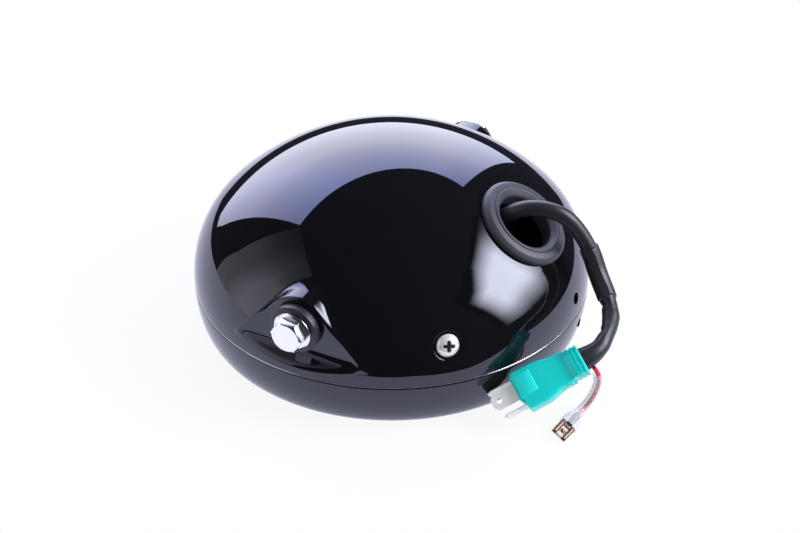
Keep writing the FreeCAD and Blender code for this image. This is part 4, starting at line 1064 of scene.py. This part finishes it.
def makeBoot(path):  # a clear soft boot over the terminal, lying back along the wire
    place = terminalPlace()
    rear, front = place @ Vector((0, 0, 0)), place @ Vector((boot["reach"], 0, 0))
    s, points, _, _ = evenPath(path, 0.6)
    back = points[s > s[-1] - boot["along"]]
    line = np.concatenate([back[:-1], [np.array(rear + (front - rear) * t) for t in np.linspace(0, 1, 24)]])
    s, points, ahead, _ = evenPath(line, boot["spacing"])
    wide = np.array(place.to_3x3() @ Vector((0, 1, 0)))
    side = unit(wide - ahead * (ahead @ wide)[:, None])
    grow = np.clip((s - boot["along"] + boot["grow"] / 3) / boot["grow"], 0, 1)
    grow = (grow * grow * (3 - 2 * grow))[:, None]
    halfWidth = (boot["wireWidth"] + (boot["width"] - boot["wireWidth"]) * grow) / 2
    halfHeight = (boot["wireHeight"] + (boot["height"] - boot["wireHeight"]) * grow) / 2
    angles = fullTurn(boot["segments"])
    c, q = (np.sign(f(angles)) * np.abs(f(angles)) ** boot["square"] for f in (np.cos, np.sin))
    centre = (points - side * (1 - grow) * boot["shift"])[:, None]
    side, over = side[:, None], np.cross(ahead, side)[:, None]
    shells = []
    for inset in (0.0, boot["wall"]):
        x, z = (halfWidth - inset) * c, (halfHeight - inset) * q
        grid = centre + side * x[..., None] + over * z[..., None]
        grid[..., 2] = np.maximum(grid[..., 2], boot["floor"] + inset)
        shells.append(grid)
    rows = np.concatenate([shells[0], shells[1][::-1], shells[0][:1]])
    faces = gridFaces(len(rows), boot["segments"])
    piece = makePiece("terminalBoot", rows.reshape(-1, 3), faces, "bootClear", sharp=50)
    return finishPiece(piece, "sleeve_clear", "terminal_sleeve")


spadeTerminal = makeTerminal()
terminalBoot = makeBoot(wirePath)
print("terminal made")


# Studio: a white board, soft panels and a white background

studio = {  # places in mm from the part's origin, as the camera sees them, and stops as (place, tone)
    "board": [(-880, -152), (25, -158), (78, -136), (208, -128), (420, 390), (-880, 390)], "boardDrop": 0.1,
    "boardTone": 0.85, "boardGlow": 0.91, "boardSheen": (1.08, 1.09, 1.36),
    "back": [(-1239, 1200, 78), (544, 1200, 97), (477, 615, 861), (-677, 280, 914)],
    "backMiddle": (-2, 708, 916),
    "backTones": ((0.0, (2.9, 3.0, 3.3)), (0.2, (3.4, 3.45, 4.0)), (0.52, (3.95, 3.95, 4.7)),
                  (1.0, (2.7, 2.9, 4.6))),
    "backSides": ((0.0, (0.75, 0.76, 0.88)), (0.22, (1.0, 1.02, 1.17)), (0.4, (1.0, 1.0, 1.03)),
                  (0.8, (1.0, 1.0, 1.05)), (1.0, (0.72, 0.77, 0.9))),
    "left": [(-985, 395, -50), (-770, -640, -50), (-540, -500, 800), (-625, 222, 843)],
    "leftTones": ((0.0, (0.67, 0.67, 0.74)), (0.36, (0.62, 0.62, 0.68)), (0.61, (0.5, 0.5, 0.55)),
                  (0.8, (0.2, 0.2, 0.23)), (1.0, (0.08, 0.08, 0.1))),
    "leftSides": ((0.0, 0.9), (0.22, 1.0), (0.44, 2.1), (0.65, 2.1), (1.0, 1.2)),
    "spot": (866, 0, 560), "spotSpan": ((-380, 700), (-520, 480)), "spotTone": (12.2, 12.5, 13.6),
    "spotShear": 0.4, "shearFrom": 0.51,
    "spotSides": ((0.0, 0.0), (0.15, 0.2), (0.33, 1.0), (0.66, 1.0), (0.76, 0.7), (0.92, 0.0), (1.0, 0.0)),
    "spotRise": ((0.0, 0.0), (0.04, 0.06), (0.12, 0.16), (0.27, 0.42), (0.42, 0.85), (0.52, 1.0), (0.78, 1.0),
                 (0.86, 0.55), (0.95, 0.0), (1.0, 0.0)),
    "room": (0.03, 0.033, 0.048), "fill": 0.45,
}


def stagePiece(name, points, faces, material, seen):
    mesh = bpy.data.meshes.new(name)
    mesh.from_pydata([tuple(p) for p in points], [], faces)
    mesh.materials.append(material)
    piece = newObject(name, mesh)
    piece.visible_camera = seen
    return piece


def glowMaterial(name):
    material = bpy.data.materials.new(name)
    material.use_nodes = True
    tree = material.node_tree
    tree.nodes.clear()
    glow = addNode(tree, "ShaderNodeEmission", Strength=1.0)
    out = addNode(tree, "ShaderNodeOutputMaterial")
    link(tree, (glow, 0, out, "Surface"))
    return material, tree, glow, out


def sail(corners, middle=None, steps=49):  # a panel between four corners, bowed at its top
    a, b, c, d = (np.array(p, float) for p in corners)
    bow = np.array(middle, float) - (c + d) / 2 if middle is not None else np.zeros(3)
    u, v = (g.ravel() for g in np.meshgrid(np.linspace(0, 1, steps), np.linspace(0, 1, steps)))
    p, q = u[:, None], v[:, None]
    points = (1 - q) * ((1 - p) * a + p * b) + q * ((1 - p) * d + p * c) + q * 4 * p * (1 - p) * bow
    faces = [(i * steps + j, i * steps + j + 1, (i + 1) * steps + j + 1, (i + 1) * steps + j)
             for i in range(steps - 1) for j in range(steps - 1)]
    return [fromShot(*(p * mm)) for p in points], faces, u, v


def atStops(stops, x):  # a tone between stops
    places, tones = [k for k, _ in stops], np.array([np.ravel(tone) for _, tone in stops])
    return np.stack([np.interp(x, places, channel) for channel in tones.T], -1)


def litPanel(name, points, faces, tones):  # an emission that changes over the panel
    material, tree, glow, _ = glowMaterial(name)
    tone = addNode(tree, "ShaderNodeAttribute", {"attribute_name": "tone"})
    link(tree, (tone, "Color", glow, "Color"))
    piece = stagePiece(name, points, faces, material, False)
    layer = piece.data.attributes.new("tone", "FLOAT_COLOR", "POINT")
    layer.data.foreach_set("color", np.column_stack([tones, np.ones(len(tones))]).astype(np.float32).ravel())


def makeBoard():  # bright to the eye and in the paint, plain to soft light
    material, tree, glow, out = glowMaterial("whiteBoard")
    sheen = addNode(tree, "ShaderNodeMix", {"data_type": "RGBA"}, A=(1, 1, 1, 1), B=(*studio["boardSheen"], 1))
    matt = addNode(tree, "ShaderNodeBsdfDiffuse", Color=(studio["boardTone"],) * 3 + (1,))
    path = addNode(tree, "ShaderNodeLightPath")
    mix = addNode(tree, "ShaderNodeMixShader")
    seen = None
    for ray in ("Is Camera Ray", "Is Glossy Ray", "Is Transmission Ray"):
        add = addNode(tree, "ShaderNodeMath", {"operation": "MULTIPLY_ADD"})
        add.inputs[1].default_value, add.inputs[2].default_value = studio["boardGlow"], 0.0
        link(tree, (path, ray, add, 0))
        if seen:
            link(tree, (seen, 0, add, 2))
        seen = add
    link(tree, (path, "Is Glossy Ray", sheen, "Factor"), (sheen, "Result", glow, "Color"),
         (seen, 0, mix, "Fac"), (matt, 0, mix, 1), (glow, 0, mix, 2), (mix, 0, out, "Surface"))
    corners = [fromShot(x * mm, y * mm, -studio["boardDrop"] * mm) for x, y in studio["board"]]
    stagePiece("whiteBoard", corners, [tuple(range(len(corners)))], material, True)


def makePanels():
    points, faces, u, v = sail(studio["back"], studio["backMiddle"])
    litPanel("backPanel", points, faces, atStops(studio["backTones"], v) * atStops(studio["backSides"], u))
    points, faces, u, v = sail(studio["left"])
    litPanel("leftPanel", points, faces, atStops(studio["leftTones"], v) * atStops(studio["leftSides"], u))
    centre = np.array(studio["spot"], float)
    facing = -unit(centre)
    across = unit(np.cross(upAxis, facing))
    tall = np.cross(facing, across)
    (a, b), (c, d) = studio["spotSpan"]
    points, faces, u, v = sail([centre + across * x + tall * y for x, y in ((a, c), (b, c), (b, d), (a, d))])
    lean = v + studio["spotShear"] * np.clip(u - studio["shearFrom"], 0, None)
    tones = np.array(studio["spotTone"]) * atStops(studio["spotSides"], u) * atStops(studio["spotRise"], lean)
    litPanel("rightSpot", points, faces, tones)


def makeWorld():  # white to the eye, dark in the paint, a little fill for soft light
    world = bpy.data.worlds.new("studioWorld")
    world.use_nodes = True
    bpy.context.scene.world = world
    tree = world.node_tree
    tree.nodes.clear()
    out = addNode(tree, "ShaderNodeOutputWorld")
    path = addNode(tree, "ShaderNodeLightPath")
    white = addNode(tree, "ShaderNodeBackground", Color=(1, 1, 1, 1), Strength=1.0)
    room = addNode(tree, "ShaderNodeBackground", Color=(*studio["room"], 1), Strength=1.0)
    fill = addNode(tree, "ShaderNodeBackground", Color=(1, 1, 1, 1), Strength=studio["fill"])
    soft = addNode(tree, "ShaderNodeMixShader")
    shown = addNode(tree, "ShaderNodeMixShader")
    seen = addNode(tree, "ShaderNodeMath", {"operation": "MAXIMUM"})
    link(tree, (path, "Is Diffuse Ray", soft, "Fac"), (room, 0, soft, 1), (fill, 0, soft, 2),
         (path, "Is Camera Ray", seen, 0), (path, "Is Transmission Ray", seen, 1), (seen, 0, shown, "Fac"),
         (soft, 0, shown, 1), (white, 0, shown, 2), (shown, 0, out, "Surface"))


makeBoard()
makePanels()
makeWorld()
print("studio made")
